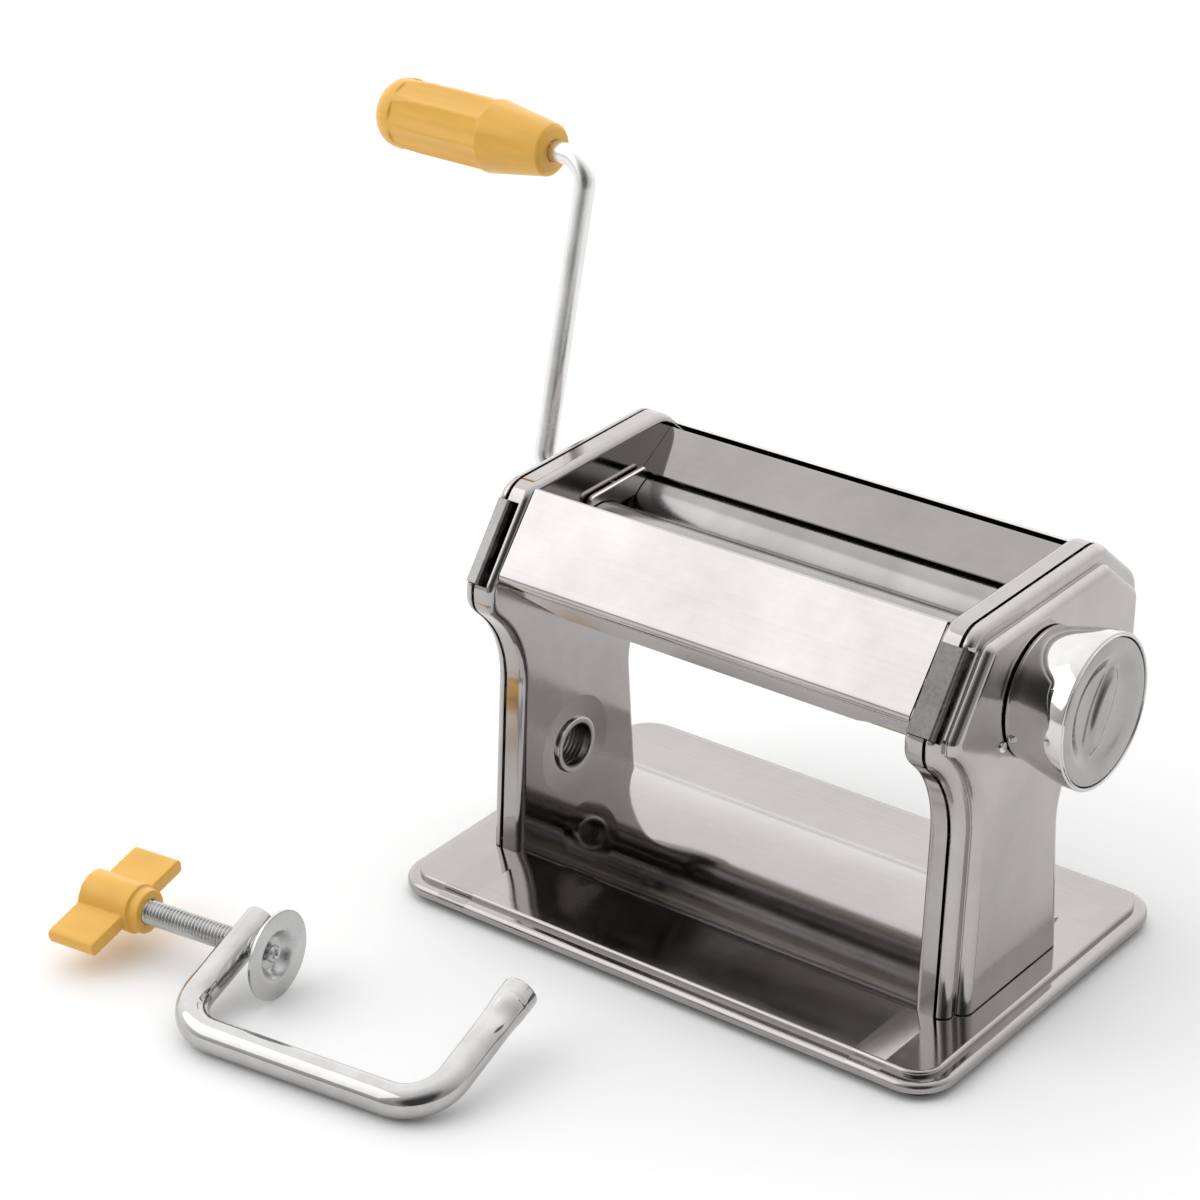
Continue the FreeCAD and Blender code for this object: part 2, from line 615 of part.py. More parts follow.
def adjusting_cam():
    """Disc with a spiral slot, in one piece with the shaft that the knob sits on."""
    disc = rod_x(FRONT_Y, AXIS_Z, CAM_R, CAM_X0, CAM_X1)
    outer, outer_a, outer_b = spiral_edge(1, 10.0)
    inner, inner_a, inner_b = spiral_edge(-1, 10.0)
    ends = [Part.LineSegment(outer_a, inner_a).toShape(), Part.LineSegment(outer_b, inner_b).toShape()]
    slot = Part.Face(Part.Wire(Part.__sortEdges__([outer, inner] + ends)))
    disc = disc.cut(slot.extrude(Vector(CAM_X1 - CAM_X0 + 1, 0, 0)))
    shaft = rod_x(FRONT_Y, AXIS_Z, ADJUST_SHAFT_R, CAM_X1, HUB_X0 - 0.05)
    shaft = shaft.fuse(double_d(ADJUST_SHAFT_R, SHAFT_FLAT, HUB_X0 - 0.05, ADJUST_SHAFT_END))
    tapped = rod_x(FRONT_Y, AXIS_Z, 2.0, ADJUST_SHAFT_END - 9, ADJUST_SHAFT_END + 1)
    return disc.fuse(shaft).cut(tapped)


def knob_bush():
    """Flanged bush of the adjusting shaft, in the right-hand cover."""
    bush = tube_x(FRONT_Y, AXIS_Z, 8.0, ADJUST_SHAFT_R + FIT, COVER_FACE - 4.0, COVER_FACE)
    return bush.fuse(tube_x(FRONT_Y, AXIS_Z, 11.0, ADJUST_SHAFT_R + FIT, COVER_FACE, COVER_FACE + 1.0))


KNOB_WALL = 0.9
HUB_R = 9.0


def knob_shell():
    """Deep-drawn cup of the knob; open towards the machine, with a rim around the face plate."""
    wide = KNOB_X1 - 4.5
    cup = rod_x(FRONT_Y, AXIS_Z, KNOB_R, wide, KNOB_X1)
    rims = [e for e in cup.Edges if e.Length > KNOB_R and e.CenterOfMass.x > KNOB_X1 - 1]
    cup = cup.makeFillet(0.4, rims)
    back, along = Vector(KNOB_X0, FRONT_Y, AXIS_Z), Vector(1, 0, 0)
    cup = cup.fuse(Part.makeCone(KNOB_BACK_R, KNOB_R, wide - KNOB_X0, back, along))
    cup = cup.cut(Part.makeCone(KNOB_BACK_R - KNOB_WALL, KNOB_R - KNOB_WALL, wide - KNOB_X0, back, along))
    cup = cup.cut(rod_x(FRONT_Y, AXIS_Z, KNOB_R - KNOB_WALL, wide, KNOB_X1 - 3.4))
    cup = cup.cut(rod_x(FRONT_Y, AXIS_Z, KNOB_R - 1.4, KNOB_X1 - 2.4, KNOB_X1 + 1))
    return cup.cut(rod_x(FRONT_Y, AXIS_Z, 6.6, KNOB_X1 - 4, KNOB_X1))


def knob_face():
    """Pressed face plate: a dished disc with a grip bar across it, leaning with its top to the back."""
    disc = rod_x(FRONT_Y, AXIS_Z, KNOB_R - 1.5, KNOB_X1 - 2.4, KNOB_X1 - 0.2)
    disc = disc.cut(rod_x(FRONT_Y, AXIS_Z, 16.5, KNOB_X1 - 1.5, KNOB_X1 + 1))
    bar = box(KNOB_X1 - 2.0, KNOB_X1 - 0.2, -3.2, 3.2, -16.4, 16.4)
    bar.rotate(Vector(0, 0, 0), Vector(1, 0, 0), -30)
    bar.translate(Vector(0, FRONT_Y, AXIS_Z))
    return disc.fuse(bar)


def double_d(r, flat, x0, x1):
    bar = rod_x(FRONT_Y, AXIS_Z, r, x0, x1)
    return bar.common(box(min(x0, x1), max(x0, x1), FRONT_Y - r, FRONT_Y + r, AXIS_Z - flat, AXIS_Z + flat))


HUB_X0, HUB_X1 = COVER_FACE + 1.1, KNOB_X1 - 3.4
SPRING_X0 = 98.4


def knob_hub():
    """Hub inside the cup: it slides on the shaft's flats and holds the spring in its bore."""
    hub = rod_x(FRONT_Y, AXIS_Z, HUB_R, HUB_X0, HUB_X1)
    hub = hub.cut(double_d(ADJUST_SHAFT_R + FIT, SHAFT_FLAT + FIT, HUB_X0 - 1, HUB_X1 + 1))
    return hub.cut(rod_x(FRONT_Y, AXIS_Z, 7.6, SPRING_X0 - 0.6, HUB_X1 + 1))


def knob_spring():
    """Light coil spring around the shaft that pulls the knob back onto the index pin.

    It is wound of half rings, each leaning by half the pitch, that meet end to end."""
    half_turns, pitch, wire_r, mean_r = 6, 1.6, 0.35, 6.3
    coil = None
    for k in range(half_turns):
        side = mean_r if k % 2 == 0 else -mean_r
        start = Vector(SPRING_X0 + k * pitch / 2, FRONT_Y, AXIS_Z + side)
        end = Vector(start.x + pitch / 2, FRONT_Y, AXIS_Z - side)
        wire = Part.Face(Part.Wire(Part.makeCircle(wire_r, start, Vector(0, 1, 0))))
        half_ring = wire.revolve((start + end) * 0.5, (end - start).cross(Vector(0, side, 0)), 180)
        coil = half_ring if coil is None else coil.fuse(half_ring)
    return coil


def knob_washer():
    return tube_x(FRONT_Y, AXIS_Z, 7.2, 2.1, ADJUST_SHAFT_END, ADJUST_SHAFT_END + 0.8)


def knob_screw():
    head = rod_x(FRONT_Y, AXIS_Z, 3.6, ADJUST_SHAFT_END + 0.8, ADJUST_SHAFT_END + 2.6)
    shank = rod_x(FRONT_Y, AXIS_Z, 1.95, ADJUST_SHAFT_END - 8, ADJUST_SHAFT_END + 0.8)
    slot = box(ADJUST_SHAFT_END + 2.0, ADJUST_SHAFT_END + 3, FRONT_Y - 4, FRONT_Y + 4, AXIS_Z - 0.4, AXIS_Z + 0.4)
    return head.fuse(shank).cut(slot)


PIN_Y, PIN_Z = -12.6, 92.2


def index_pin():
    """Short riveted pin on the cover that marks and steadies the knob's settings."""
    stem = rod_x(PIN_Y, PIN_Z, 1.0, COVER_FACE - 1.6, COVER_FACE)
    head = rod_x(PIN_Y, PIN_Z, 1.8, COVER_FACE, COVER_FACE + 1.0)
    rims = [e for e in head.Edges if e.Length > 8 and e.CenterOfMass.x > COVER_FACE + 0.9]
    return head.makeFillet(0.8, rims).fuse(stem)


# ---- scrapers -----------------------------------------------------------------------------------------------
def scraper(y_touch, sign):
    """Thin blade under a roller; it clears the surface by 0.3 mm and hangs from two lugs."""
    angle = math.radians(270 + sign * 35)
    top = (y_touch + (ROLLER_R + 0.35) * math.cos(angle), AXIS_Z + (ROLLER_R + 0.35) * math.sin(angle))
    low = (top[0] + sign * 8.5, top[1] - 3.2)
    outline = folded_sheet([(*top, 0), (*low, 0)], -0.9 * sign)
    blade = prism(outline, -70.0, 70.0)
    bar = rod_x(low[0] - sign * 1.0, low[1] + 0.8, 1.8, -INNER_FACE, INNER_FACE)
    return blade.fuse(bar)


# ---- crank and grip ---------------------------------------------------------------------------------------------
LEAN = math.radians(CRANK_LEAN)
GRIP_Y = REAR_Y + CRANK_ARM * math.sin(LEAN)
GRIP_Z = AXIS_Z + CRANK_ARM * math.cos(LEAN)
ROD_END = -190.0


def crank_rod():
    """Bent round bar with a squared tip that plugs into the rear roller's shaft."""
    path = [(Vector(TIP_START, REAR_Y, AXIS_Z), 0), (Vector(CRANK_PLANE_X, REAR_Y, AXIS_Z), CRANK_BEND),
            (Vector(CRANK_PLANE_X, GRIP_Y, GRIP_Z), CRANK_BEND), (Vector(ROD_END, GRIP_Y, GRIP_Z), 0)]
    return swept_rod(path, CRANK_R).fuse(square_bar(TIP_SQUARE / 2, TIP_START - 1.0, TIP_END))


def grip_retainer():
    """Star washer pressed on the rod's end, inside the grip."""
    return tube_x(GRIP_Y, GRIP_Z, 5.2, CRANK_R, -187.4, -186.2)


def handle_grip():
    """Grip turned along X: rounded outer end, eight flutes, shoulder and taper towards the crank."""
    length = GRIP_X0 - GRIP_X1
    stations = [(0.0, 0.0), (0.0, 7.4), (1.2, 8.7), (24.0, 12.3), (50.0, 12.5), (63.0, 11.8)]
    points = [Vector(GRIP_X0 - s, r, 0) for s, r in stations]
    face_edge = Vector(GRIP_X1, 5.5, 0)
    edges = [Part.LineSegment(a, b).toShape() for a, b in zip(points, points[1:])]
    edges.append(Part.Arc(points[-1], Vector(GRIP_X1 + 1.9, 9.2, 0), face_edge).toShape())
    edges.append(Part.LineSegment(face_edge, Vector(GRIP_X1, 0, 0)).toShape())
    edges.append(Part.LineSegment(Vector(GRIP_X1, 0, 0), points[0]).toShape())
    grip = Part.Face(Part.Wire(edges)).revolve(Vector(0, 0, 0), Vector(1, 0, 0), 360)
    for k in range(8):
        flute = Part.makeCylinder(30, 37, Vector(GRIP_X1 + 9.0, 41.2, 0), Vector(1, 0, 0))
        flute.rotate(Vector(0, 0, 0), Vector(1, 0, 0), 45 * k + 22.5)
        grip = grip.cut(flute)
    grip.translate(Vector(0, GRIP_Y, GRIP_Z))
    grip = grip.cut(rod_x(GRIP_Y, GRIP_Z, CRANK_R + FIT, GRIP_X0 - length + 15, GRIP_X0 + 1))
    return grip.cut(rod_x(GRIP_Y, GRIP_Z, 5.6, -192.0, -185.0))


# ---- table clamp, lying on the table ------------------------------------------------------------------------------
CLAMP_PLACE = Placement(Vector(*CLAMP_CORNER), Rotation(Vector(0, 0, 1), CLAMP_YAW).multiply(
    Rotation(Vector(1, 0, 0), CLAMP_TILT)))


def placed(shape):
    """From the clamp's own frame (X along its back and screw, Y along its arms) to where it lies."""
    copy = shape.copy()
    copy.Placement = CLAMP_PLACE.multiply(copy.Placement)
    return copy


def clamp_bow():
    path = [(Vector(0, CLAMP_ARM_A, 0), 0), (Vector(0, 0, 0), CLAMP_BEND),
            (Vector(CLAMP_WIDTH, 0, 0), CLAMP_BEND), (Vector(CLAMP_WIDTH, CLAMP_ARM_B, 0), 0)]
    bow = swept_rod(path, CLAMP_ROD_R)
    tip = Part.makeCylinder(CLAMP_ROD_R + 0.5, 5.5, Vector(CLAMP_WIDTH, CLAMP_ARM_B - 5.5, 0), Vector(0, 1, 0))
    thread = rod_x(CLAMP_SCREW_AT, 0, SCREW_R + 0.2, -20, 20)
    return placed(bow.fuse(tip).cut(thread))


SCREW_X0 = -46.0


def clamp_screw():
    """Threaded spindle; a neck and a peened head hold the pressure plate on its end."""
    spindle = rod_x(CLAMP_SCREW_AT, 0, SCREW_R, SCREW_X0, 9.0)
    neck = rod_x(CLAMP_SCREW_AT, 0, 2.0, 9.0, 11.8)
    head = rod_x(CLAMP_SCREW_AT, 0, 2.8, 11.8, 13.0)
    return placed(spindle.fuse(neck).fuse(head))


def clamp_wing():
    hub = rod_x(CLAMP_SCREW_AT, 0, 8.0, -57.2, -38.6)
    hub = hub.fuse(rod_x(CLAMP_SCREW_AT, 0, 7.0, -38.6, -35.0))
    blades = box(-57.2, -39.9, CLAMP_SCREW_AT - 22.8, CLAMP_SCREW_AT + 22.8, -2.4, 2.4)
    ends = [e for e in blades.Edges if abs(e.tangentAt(e.FirstParameter).x) > 0.9]
    blades = blades.makeFillet(1.6, ends)
    wing = hub.fuse(blades).cut(rod_x(CLAMP_SCREW_AT, 0, SCREW_R, SCREW_X0, -34))
    wing.rotate(Vector(0, CLAMP_SCREW_AT, 0), Vector(1, 0, 0), WING_ROLL)
    return placed(wing)


def pressure_plate():
    """Dished round plate that turns freely on the screw's end."""
    half = [(9.3, 2.0 + FIT), (9.3, 6.0), (12.9, 8.2), (12.9, PLATE_R), (14.1, PLATE_R), (14.1, 7.6),
            (10.6, 5.4), (10.6, 2.0 + FIT)]
    ring = [Vector(x, r, 0) for x, r in half]
    dish = Part.Face(Part.makePolygon(ring + ring[:1])).revolve(Vector(0, 0, 0), Vector(1, 0, 0), 360)
    dish.translate(Vector(0, CLAMP_SCREW_AT, 0))
    return placed(dish)


# ---- the whole machine ----------------------------------------------------------------------------------------------
NODES = {
    "base_plate": drilled_base,
    "base_feet": base_feet,
    "foot_screws": foot_screws,
    "leg_brackets": leg_brackets,
    "leg_screws": leg_screws,
    "left_inner_plate": left_inner_plate,
    "right_inner_plate": right_inner_plate,
    "left_outer_cover": left_outer_cover,
    "right_outer_cover": right_outer_cover,
    "cover_posts": cover_posts,
    "left_attachment_rail": lambda: attachment_rail(LEFT_RAIL),
    "right_attachment_rail": lambda: attachment_rail(RIGHT_RAIL),
    "front_cover": front_cover,
    "front_apron": front_apron,
    "hopper_plate": hopper_plate,
    "rear_cover": rear_cover,
    "left_dough_guide": lambda: mirrored(dough_guide()),
    "right_dough_guide": dough_guide,
    "front_scraper": lambda: scraper(FRONT_Y - (GAP_MAX - ROLLER_GAP), -1),
    "rear_scraper": lambda: scraper(REAR_Y, 1),
    "tie_rods": tie_rods,
    "tie_rod_nuts": tie_rod_nuts,
    "clamp_socket": clamp_socket,
    "rear_bushes": rear_bushes,
    "bearing_guides": bearing_guides,
    "knob_bush": knob_bush,
    "index_pin": index_pin,
    "rear_roller": rear_roller,
    "rear_gear": lambda: gear(REAR_Y, 180.0, SHAFT_R),
    "rear_retaining_ring": rear_retaining_ring,
    "front_roller": front_roller,
    "front_gear": lambda: gear(FRONT_Y, 180.0 / GEAR_TEETH, NECK_R),
    "left_bearing_block": lambda: mirrored(bearing_block()),
    "right_bearing_block": bearing_block,
    "carrier_yoke": carrier_yoke,
    "cam_follower": cam_follower,
    "adjusting_cam": adjusting_cam,
    "knob_washer": knob_washer,
    "knob_screw": knob_screw,
    "knob_spring": knob_spring,
    "knob_shell": knob_shell,
    "knob_face": knob_face,
    "knob_hub": knob_hub,
    "crank_rod": crank_rod,
    "grip_retainer": grip_retainer,
    "handle_grip": handle_grip,
    "clamp_bow": clamp_bow,
    "clamp_screw": clamp_screw,
    "clamp_wing": clamp_wing,
    "pressure_plate": pressure_plate,
}

os.makedirs("parts", exist_ok=True)
for name, make in NODES.items():
    shape = make()
    if not shape.isValid() or not shape.Solids:
        raise RuntimeError(f"{name} isn't a valid solid")
    print(f"{name}: {len(shape.Solids)} solid(s), {shape.Volume:.0f} mm3")
    shape.exportStep(f"parts/{name}.step")
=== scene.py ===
import json
import math

import bmesh
import bpy
from mathutils import Euler, Matrix, Vector


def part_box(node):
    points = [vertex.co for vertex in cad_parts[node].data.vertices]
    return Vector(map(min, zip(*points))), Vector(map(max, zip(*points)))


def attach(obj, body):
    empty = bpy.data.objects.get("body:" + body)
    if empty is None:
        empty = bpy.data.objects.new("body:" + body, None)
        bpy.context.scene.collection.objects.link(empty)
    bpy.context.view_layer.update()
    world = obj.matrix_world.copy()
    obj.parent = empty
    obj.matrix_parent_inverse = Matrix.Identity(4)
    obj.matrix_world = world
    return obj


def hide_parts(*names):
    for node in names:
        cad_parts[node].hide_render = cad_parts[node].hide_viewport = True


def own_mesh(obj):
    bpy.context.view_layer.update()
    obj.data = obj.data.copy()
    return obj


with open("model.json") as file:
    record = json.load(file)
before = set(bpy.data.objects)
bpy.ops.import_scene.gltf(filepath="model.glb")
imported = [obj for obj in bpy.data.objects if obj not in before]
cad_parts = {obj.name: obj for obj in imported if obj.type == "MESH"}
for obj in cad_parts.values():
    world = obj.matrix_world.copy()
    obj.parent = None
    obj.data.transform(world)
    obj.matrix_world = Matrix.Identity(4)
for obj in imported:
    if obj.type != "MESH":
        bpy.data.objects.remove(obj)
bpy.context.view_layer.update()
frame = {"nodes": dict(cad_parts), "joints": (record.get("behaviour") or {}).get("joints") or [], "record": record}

bl_info = {
    "name": "Pasta roller",
    "version": (1, 0, 0),
    "blender": (4, 5, 0),
    "location": "View3D > Sidebar > Pasta roller",
    "description": "Dresses the packed pasta roller with its finished surfaces, one button a piece",
    "category": "Object",
}

MM = 0.001
JOINTS = {joint["name"]: joint for joint in frame["joints"]}
MOUNTS = {mount["name"]: mount for mount in frame["record"]["mounts"]}
BODY_OF = {
    node: body
    for body, nodes in frame["record"]["behaviour"]["bodies"].items()
    for node in nodes
}
SLOT_OF = {part["node"]: part["material_slot"] for part in frame["record"]["subparts"]}

INNER_NODES = [
    "front_gear", "rear_gear", "rear_retaining_ring", "rear_bushes", "left_bearing_block",
    "right_bearing_block", "bearing_guides", "carrier_yoke", "cam_follower", "front_scraper",
    "rear_scraper", "tie_rods", "tie_rod_nuts", "cover_posts", "knob_bush", "adjusting_cam",
    "knob_hub", "knob_spring", "knob_washer", "knob_screw", "leg_brackets", "leg_screws",
    "foot_screws", "grip_retainer",
]

MERGE = 0.002 * MM              # points nearer than this are one point
SLOPE = math.radians(51.9)      # lean of the side plates' slanted front edges
SOCKET_BORE, SOCKET_TUBE, SOCKET_COLLAR = 7.0 * MM, 8.2 * MM, 9.4 * MM
SOCKET_RIB = 1.5 * MM
KNOB_NECK = 20.4 * MM
CLAMP_ROD = 5.2 * MM
CLAMP_BEND = 14.0 * MM
CLAMP_WIDTH = 91.4 * MM         # between the two arms' axes
CLAMP_SHORT_ARM, CLAMP_ARM = 46.5 * MM, 51.0 * MM
SCREW_AT = 35.4 * MM            # along the arms
SCREW_R = 3.9 * MM
PRESSURE_PLATE_R = 14.2 * MM

# name, place, what it points at, size, watts
STUDIO_LIGHTS = [
    ("softbox_left", (-1.05, -0.95, 1.18), (0, 0, 0.1), (1.7, 1.3), 6.9),
]


# ---- sizes and colours that a user may change -----------------------------------------------------------
class SteelSettings(bpy.types.PropertyGroup):
    panel_colour: bpy.props.FloatVectorProperty(
        name="Sheet colour", description="Colour of the polished stainless sheet",
        subtype="COLOR", size=3, min=0.0, max=1.0, default=(0.412, 0.394, 0.387))
    panel_roughness: bpy.props.FloatProperty(
        name="Sheet roughness", description="Blur of what the polished sheet reflects",
        subtype="FACTOR", min=0.0, max=1.0, default=0.09)
    wave_height: bpy.props.FloatProperty(
        name="Sheet waviness", description="Height of the shallow waves that pressing leaves in the sheet",
        subtype="DISTANCE", unit="LENGTH", min=0.0, max=0.002, default=0.00028)
    chrome_colour: bpy.props.FloatVectorProperty(
        name="Chrome colour", description="Colour of the chromed rods and the knob",
        subtype="COLOR", size=3, min=0.0, max=1.0, default=(0.60, 0.589, 0.583))


class PlasticSettings(bpy.types.PropertyGroup):
    yellow: bpy.props.FloatVectorProperty(
        name="Yellow", description="Colour of the grip and the clamp's wing",
        subtype="COLOR", size=3, min=0.0, max=1.0, default=(0.76, 0.42, 0.060))
    seam: bpy.props.FloatProperty(
        name="Moulded edge", description="Voxel size that softens the edges of moulded pieces",
        subtype="DISTANCE", unit="LENGTH", min=0.0001, max=0.002, default=0.00032)


class KnobSettings(bpy.types.PropertyGroup):
    dish_radius: bpy.props.FloatProperty(
        name="Dish radius", description="Radius of the round dish in the knob's face",
        subtype="DISTANCE", unit="LENGTH", default=0.0165)
    dish_depth: bpy.props.FloatProperty(
        name="Dish depth", description="Depth of that dish under the face's border",
        subtype="DISTANCE", unit="LENGTH", default=0.0019)
    bar_lean: bpy.props.FloatProperty(
        name="Bar lean", description="Lean of the grip bar from upright, its top towards the back",
        subtype="ANGLE", unit="ROTATION", default=math.radians(30))


class ClampSettings(bpy.types.PropertyGroup):
    pitch: bpy.props.FloatProperty(
        name="Thread pitch", description="Advance of the clamp screw in one turn",
        subtype="DISTANCE", unit="LENGTH", default=0.00125)
    thread_depth: bpy.props.FloatProperty(
        name="Thread depth", description="Depth of the screw's thread",
        subtype="DISTANCE", unit="LENGTH", default=0.00062)
    flare: bpy.props.FloatProperty(
        name="Tip flare", description="How much wider the free end of the bow is than its rod, in radius",
        subtype="DISTANCE", unit="LENGTH", default=0.0005)


class StageSettings(bpy.types.PropertyGroup):
    focal_length: bpy.props.FloatProperty(
        name="Focal length", description="Focal length of the camera on a 36 mm sensor",
        subtype="DISTANCE_CAMERA", default=110.6)
    camera_place: bpy.props.FloatVectorProperty(
        name="Camera place", description="Where the camera stands",
        subtype="TRANSLATION", unit="LENGTH", size=3, default=(0.5754, -0.7989, 0.6169))
    camera_azimuth: bpy.props.FloatProperty(
        name="Camera azimuth", description="Turn of the view towards the knob's side",
        subtype="ANGLE", unit="ROTATION", default=math.radians(38.78))
    camera_elevation: bpy.props.FloatProperty(
        name="Camera elevation", description="How steeply the camera looks down",
        subtype="ANGLE", unit="ROTATION", default=math.radians(27.33))
    camera_roll: bpy.props.FloatProperty(
        name="Camera roll", description="Tilt of the camera about its line of sight",
        subtype="ANGLE", unit="ROTATION", default=math.radians(-1.47))
    daylight: bpy.props.FloatProperty(
        name="Surrounding light", description="Brightness of the even light from all round",
        min=0.0, max=5.0, default=1.27)


# ---- materials ------------------------------------------------------------------------------------------
class Value:
    """A number socket of a node tree that can stand in a Python expression."""

    def __init__(self, tree, socket):
        self.tree = tree
        self.socket = socket

    def maths(self, operation, first, second=0.0):
        node = self.tree.nodes.new("ShaderNodeMath")
        node.operation = operation
        for slot, value in zip(node.inputs, (first, second)):
            if isinstance(value, Value):
                self.tree.links.new(value.socket, slot)
            else:
                slot.default_value = value
        return Value(self.tree, node.outputs[0])

    def __add__(self, other):
        return self.maths("ADD", self, other)

    def __radd__(self, other):
        return self.maths("ADD", other, self)

    def __sub__(self, other):
        return self.maths("SUBTRACT", self, other)

    def __rsub__(self, other):
        return self.maths("SUBTRACT", other, self)

    def __mul__(self, other):
        return self.maths("MULTIPLY", self, other)

    def __rmul__(self, other):
        return self.maths("MULTIPLY", other, self)

    def __pow__(self, other):
        return self.maths("POWER", self, other)


class Nodes:
    """A node tree and the one way to add a node to it."""

    def __init__(self, tree):
        self.tree = tree
        tree.nodes.clear()

    def add(self, kind, settings=None, inputs=None):
        node = self.tree.nodes.new(kind)
        for name, value in (settings or {}).items():
            setattr(node, name, value)
        for name, value in (inputs or {}).items():
            slot = node.inputs[name]
            if isinstance(value, Value):
                value = value.socket
            if isinstance(value, bpy.types.NodeSocket):
                self.tree.links.new(value, slot)
            else:
                slot.default_value = value
        return node

    def value(self, socket):
        return Value(self.tree, socket)

    def place(self, scale=(1, 1, 1), turn=(0, 0, 0)):
        """Object coordinates, stretched and turned."""
        where = self.add("ShaderNodeTexCoord").outputs["Object"]
        mapping = self.add("ShaderNodeMapping", {}, {"Vector": where, "Scale": scale, "Rotation": turn})
        return mapping.outputs[0]

    def distance(self, axis):
        """How far a point lies from the line along X through axis, given as (y, z)."""
        split = self.add("ShaderNodeSeparateXYZ", {}, {"Vector": self.place()})
        y, z = self.value(split.outputs[1]) - axis[0], self.value(split.outputs[2]) - axis[1]
        return (y * y + z * z) ** 0.5

    def noise(self, vector, scale, detail=2.0, roughness=0.5):
        node = self.add("ShaderNodeTexNoise", {}, {
            "Vector": vector, "Scale": scale, "Detail": detail, "Roughness": roughness})
        return self.value(node.outputs["Fac"])

    def spread(self, value, low, high, start=0.0, end=1.0):
        """Maps value from low..high to start..end, held at both ends."""
        node = self.add("ShaderNodeMapRange", {"clamp": True}, {
            "Value": value, "From Min": low, "From Max": high, "To Min": start, "To Max": end})
        return self.value(node.outputs["Result"])

    def blend(self, factor, first, second):
        """Colour between first and second."""
        node = self.add("ShaderNodeMix", {"data_type": "RGBA"}, {0: factor, 6: first, 7: second})
        return node.outputs[2]

    def bump(self, height, distance, strength=1.0, below=None):
        inputs = {"Height": height, "Distance": distance, "Strength": strength}
        if below is not None:
            inputs["Normal"] = below
        return self.add("ShaderNodeBump", {}, inputs).outputs[0]


def colour(rgb, factor=1.0):
    return tuple(min(c * factor, 1.0) for c in rgb) + (1.0,)


def finish(name, build):
    """Material of this name; build adds its nodes and returns the shader's inputs."""
    material = bpy.data.materials.get(name)
    if material:
        return material
    material = bpy.data.materials.new(name)
    material.use_nodes = True
    nodes = Nodes(material.node_tree)
    shader = nodes.add("ShaderNodeBsdfPrincipled", {}, build(nodes))
    nodes.add("ShaderNodeOutputMaterial", {}, {"Surface": shader.outputs[0]})
    material.diffuse_color = shader.inputs["Base Color"].default_value
    return material


def polished_sheet(name, settings, grain_turn=0.0, tone=1.0, blur=1.0, waves=1.0, dent=None):
    """Bright stainless sheet: shallow press waves, faint rolling lines, a few smudges and hairlines.

    dent is the (y, z) about which the sheet was drawn in when a tube was pressed through it."""
    def build(n):
        lines = n.noise(n.place((4, 900, 900), (grain_turn, 0, 0)), 1.0, 3.0)
        across = n.noise(n.place((60, 60, 60)), 1.0, 4.0, 0.6)
        smudge = n.noise(n.place((22, 22, 22)), 1.0, 5.0, 0.62)
        hairs = n.noise(n.place((35, 2600, 2600), (grain_turn + 0.25, 0.1, 0.2)), 1.0, 2.0)
        wave = n.noise(n.place((17, 17, 17)), 1.0, 1.0, 0.4)
        shade = n.spread(smudge * 0.88 + lines * 0.12, 0.35, 0.68)
        # tone scales the sheet's colour; the outer covers', front and rear covers', hopper's and dough guides'
        # copies use it as painted light and painted shade.
        base = n.blend(shade, colour(settings.panel_colour, 0.86 * tone),
                       colour(settings.panel_colour, 1.07 * tone))
        rough = 0.55 + n.spread(across * 0.5 + smudge * 0.5, 0.3, 0.7) * 0.8
        rough = settings.panel_roughness * blur * rough
        rough = rough + n.spread(hairs, 0.66, 0.8) * 0.10
        height = wave * settings.wave_height * waves
        if dent:
            height = height + n.spread(n.distance(dent), 0.0075, 0.0165, -0.0011, 0.0)
        normal = n.bump(height, 1.0)
        normal = n.bump(lines, 0.0000012, 1.0, normal)
        return {"Base Color": base, "Metallic": 1.0, "Roughness": rough, "Normal": normal}
    return finish(name, build)


def base_sheet(settings):
    """The base's sheet: a shade duller, and drawn down a little in front of the hump by the pressing."""
    def build(n):
        where = n.add("ShaderNodeSeparateXYZ", {}, {"Vector": n.place()})
        across, along = n.value(where.outputs[0]), n.value(where.outputs[1])
        fall = n.spread(along, -0.063, -0.033, -0.0018, 0.0)
        inside = 1.0 - n.spread(across.maths("ABSOLUTE", across), 0.072, 0.083)
        wave = n.noise(n.place((14, 22, 22)), 1.0, 1.0, 0.4)
        lines = n.noise(n.place((3, 700, 700)), 1.0, 3.0)
        smudge = n.noise(n.place((18, 18, 18)), 1.0, 5.0, 0.62)
        shade = n.spread(smudge * 0.8 + lines * 0.2, 0.35, 0.68)
        base = n.blend(shade, colour(settings.panel_colour, 0.82), colour(settings.panel_colour, 0.95))
        rough = settings.panel_roughness * (0.7 + n.spread(smudge, 0.35, 0.7) * 0.9)
        normal = n.bump(fall * inside + wave * settings.wave_height * 0.6, 1.0)
        normal = n.bump(lines, 0.000003, 1.0, normal)
        return {"Base Color": base, "Metallic": 1.0, "Roughness": rough, "Normal": normal}
    return finish("base_sheet", build)


def ground_roller(settings):
    """Ground and chromed roller: fine rings around the axis, and slight dullness where dough runs."""
    def build(n):
        rings = n.noise(n.place((5200, 1, 1)), 1.0, 2.0)
        bands = n.noise(n.place((55, 6, 6)), 1.0, 3.0)
        smears = n.noise(n.place((14, 60, 60)), 1.0, 4.0, 0.6)
        base = n.blend(n.spread(bands, 0.3, 0.7), colour(settings.chrome_colour, 0.42),
                       colour(settings.chrome_colour, 0.52))
        rough = 0.13 + n.spread(rings, 0.35, 0.65) * 0.09 + n.spread(smears, 0.45, 0.75) * 0.09
        return {"Base Color": base, "Metallic": 1.0, "Roughness": rough, "Normal": n.bump(rings, 0.0000035)}
    return finish("ground_roller", build)


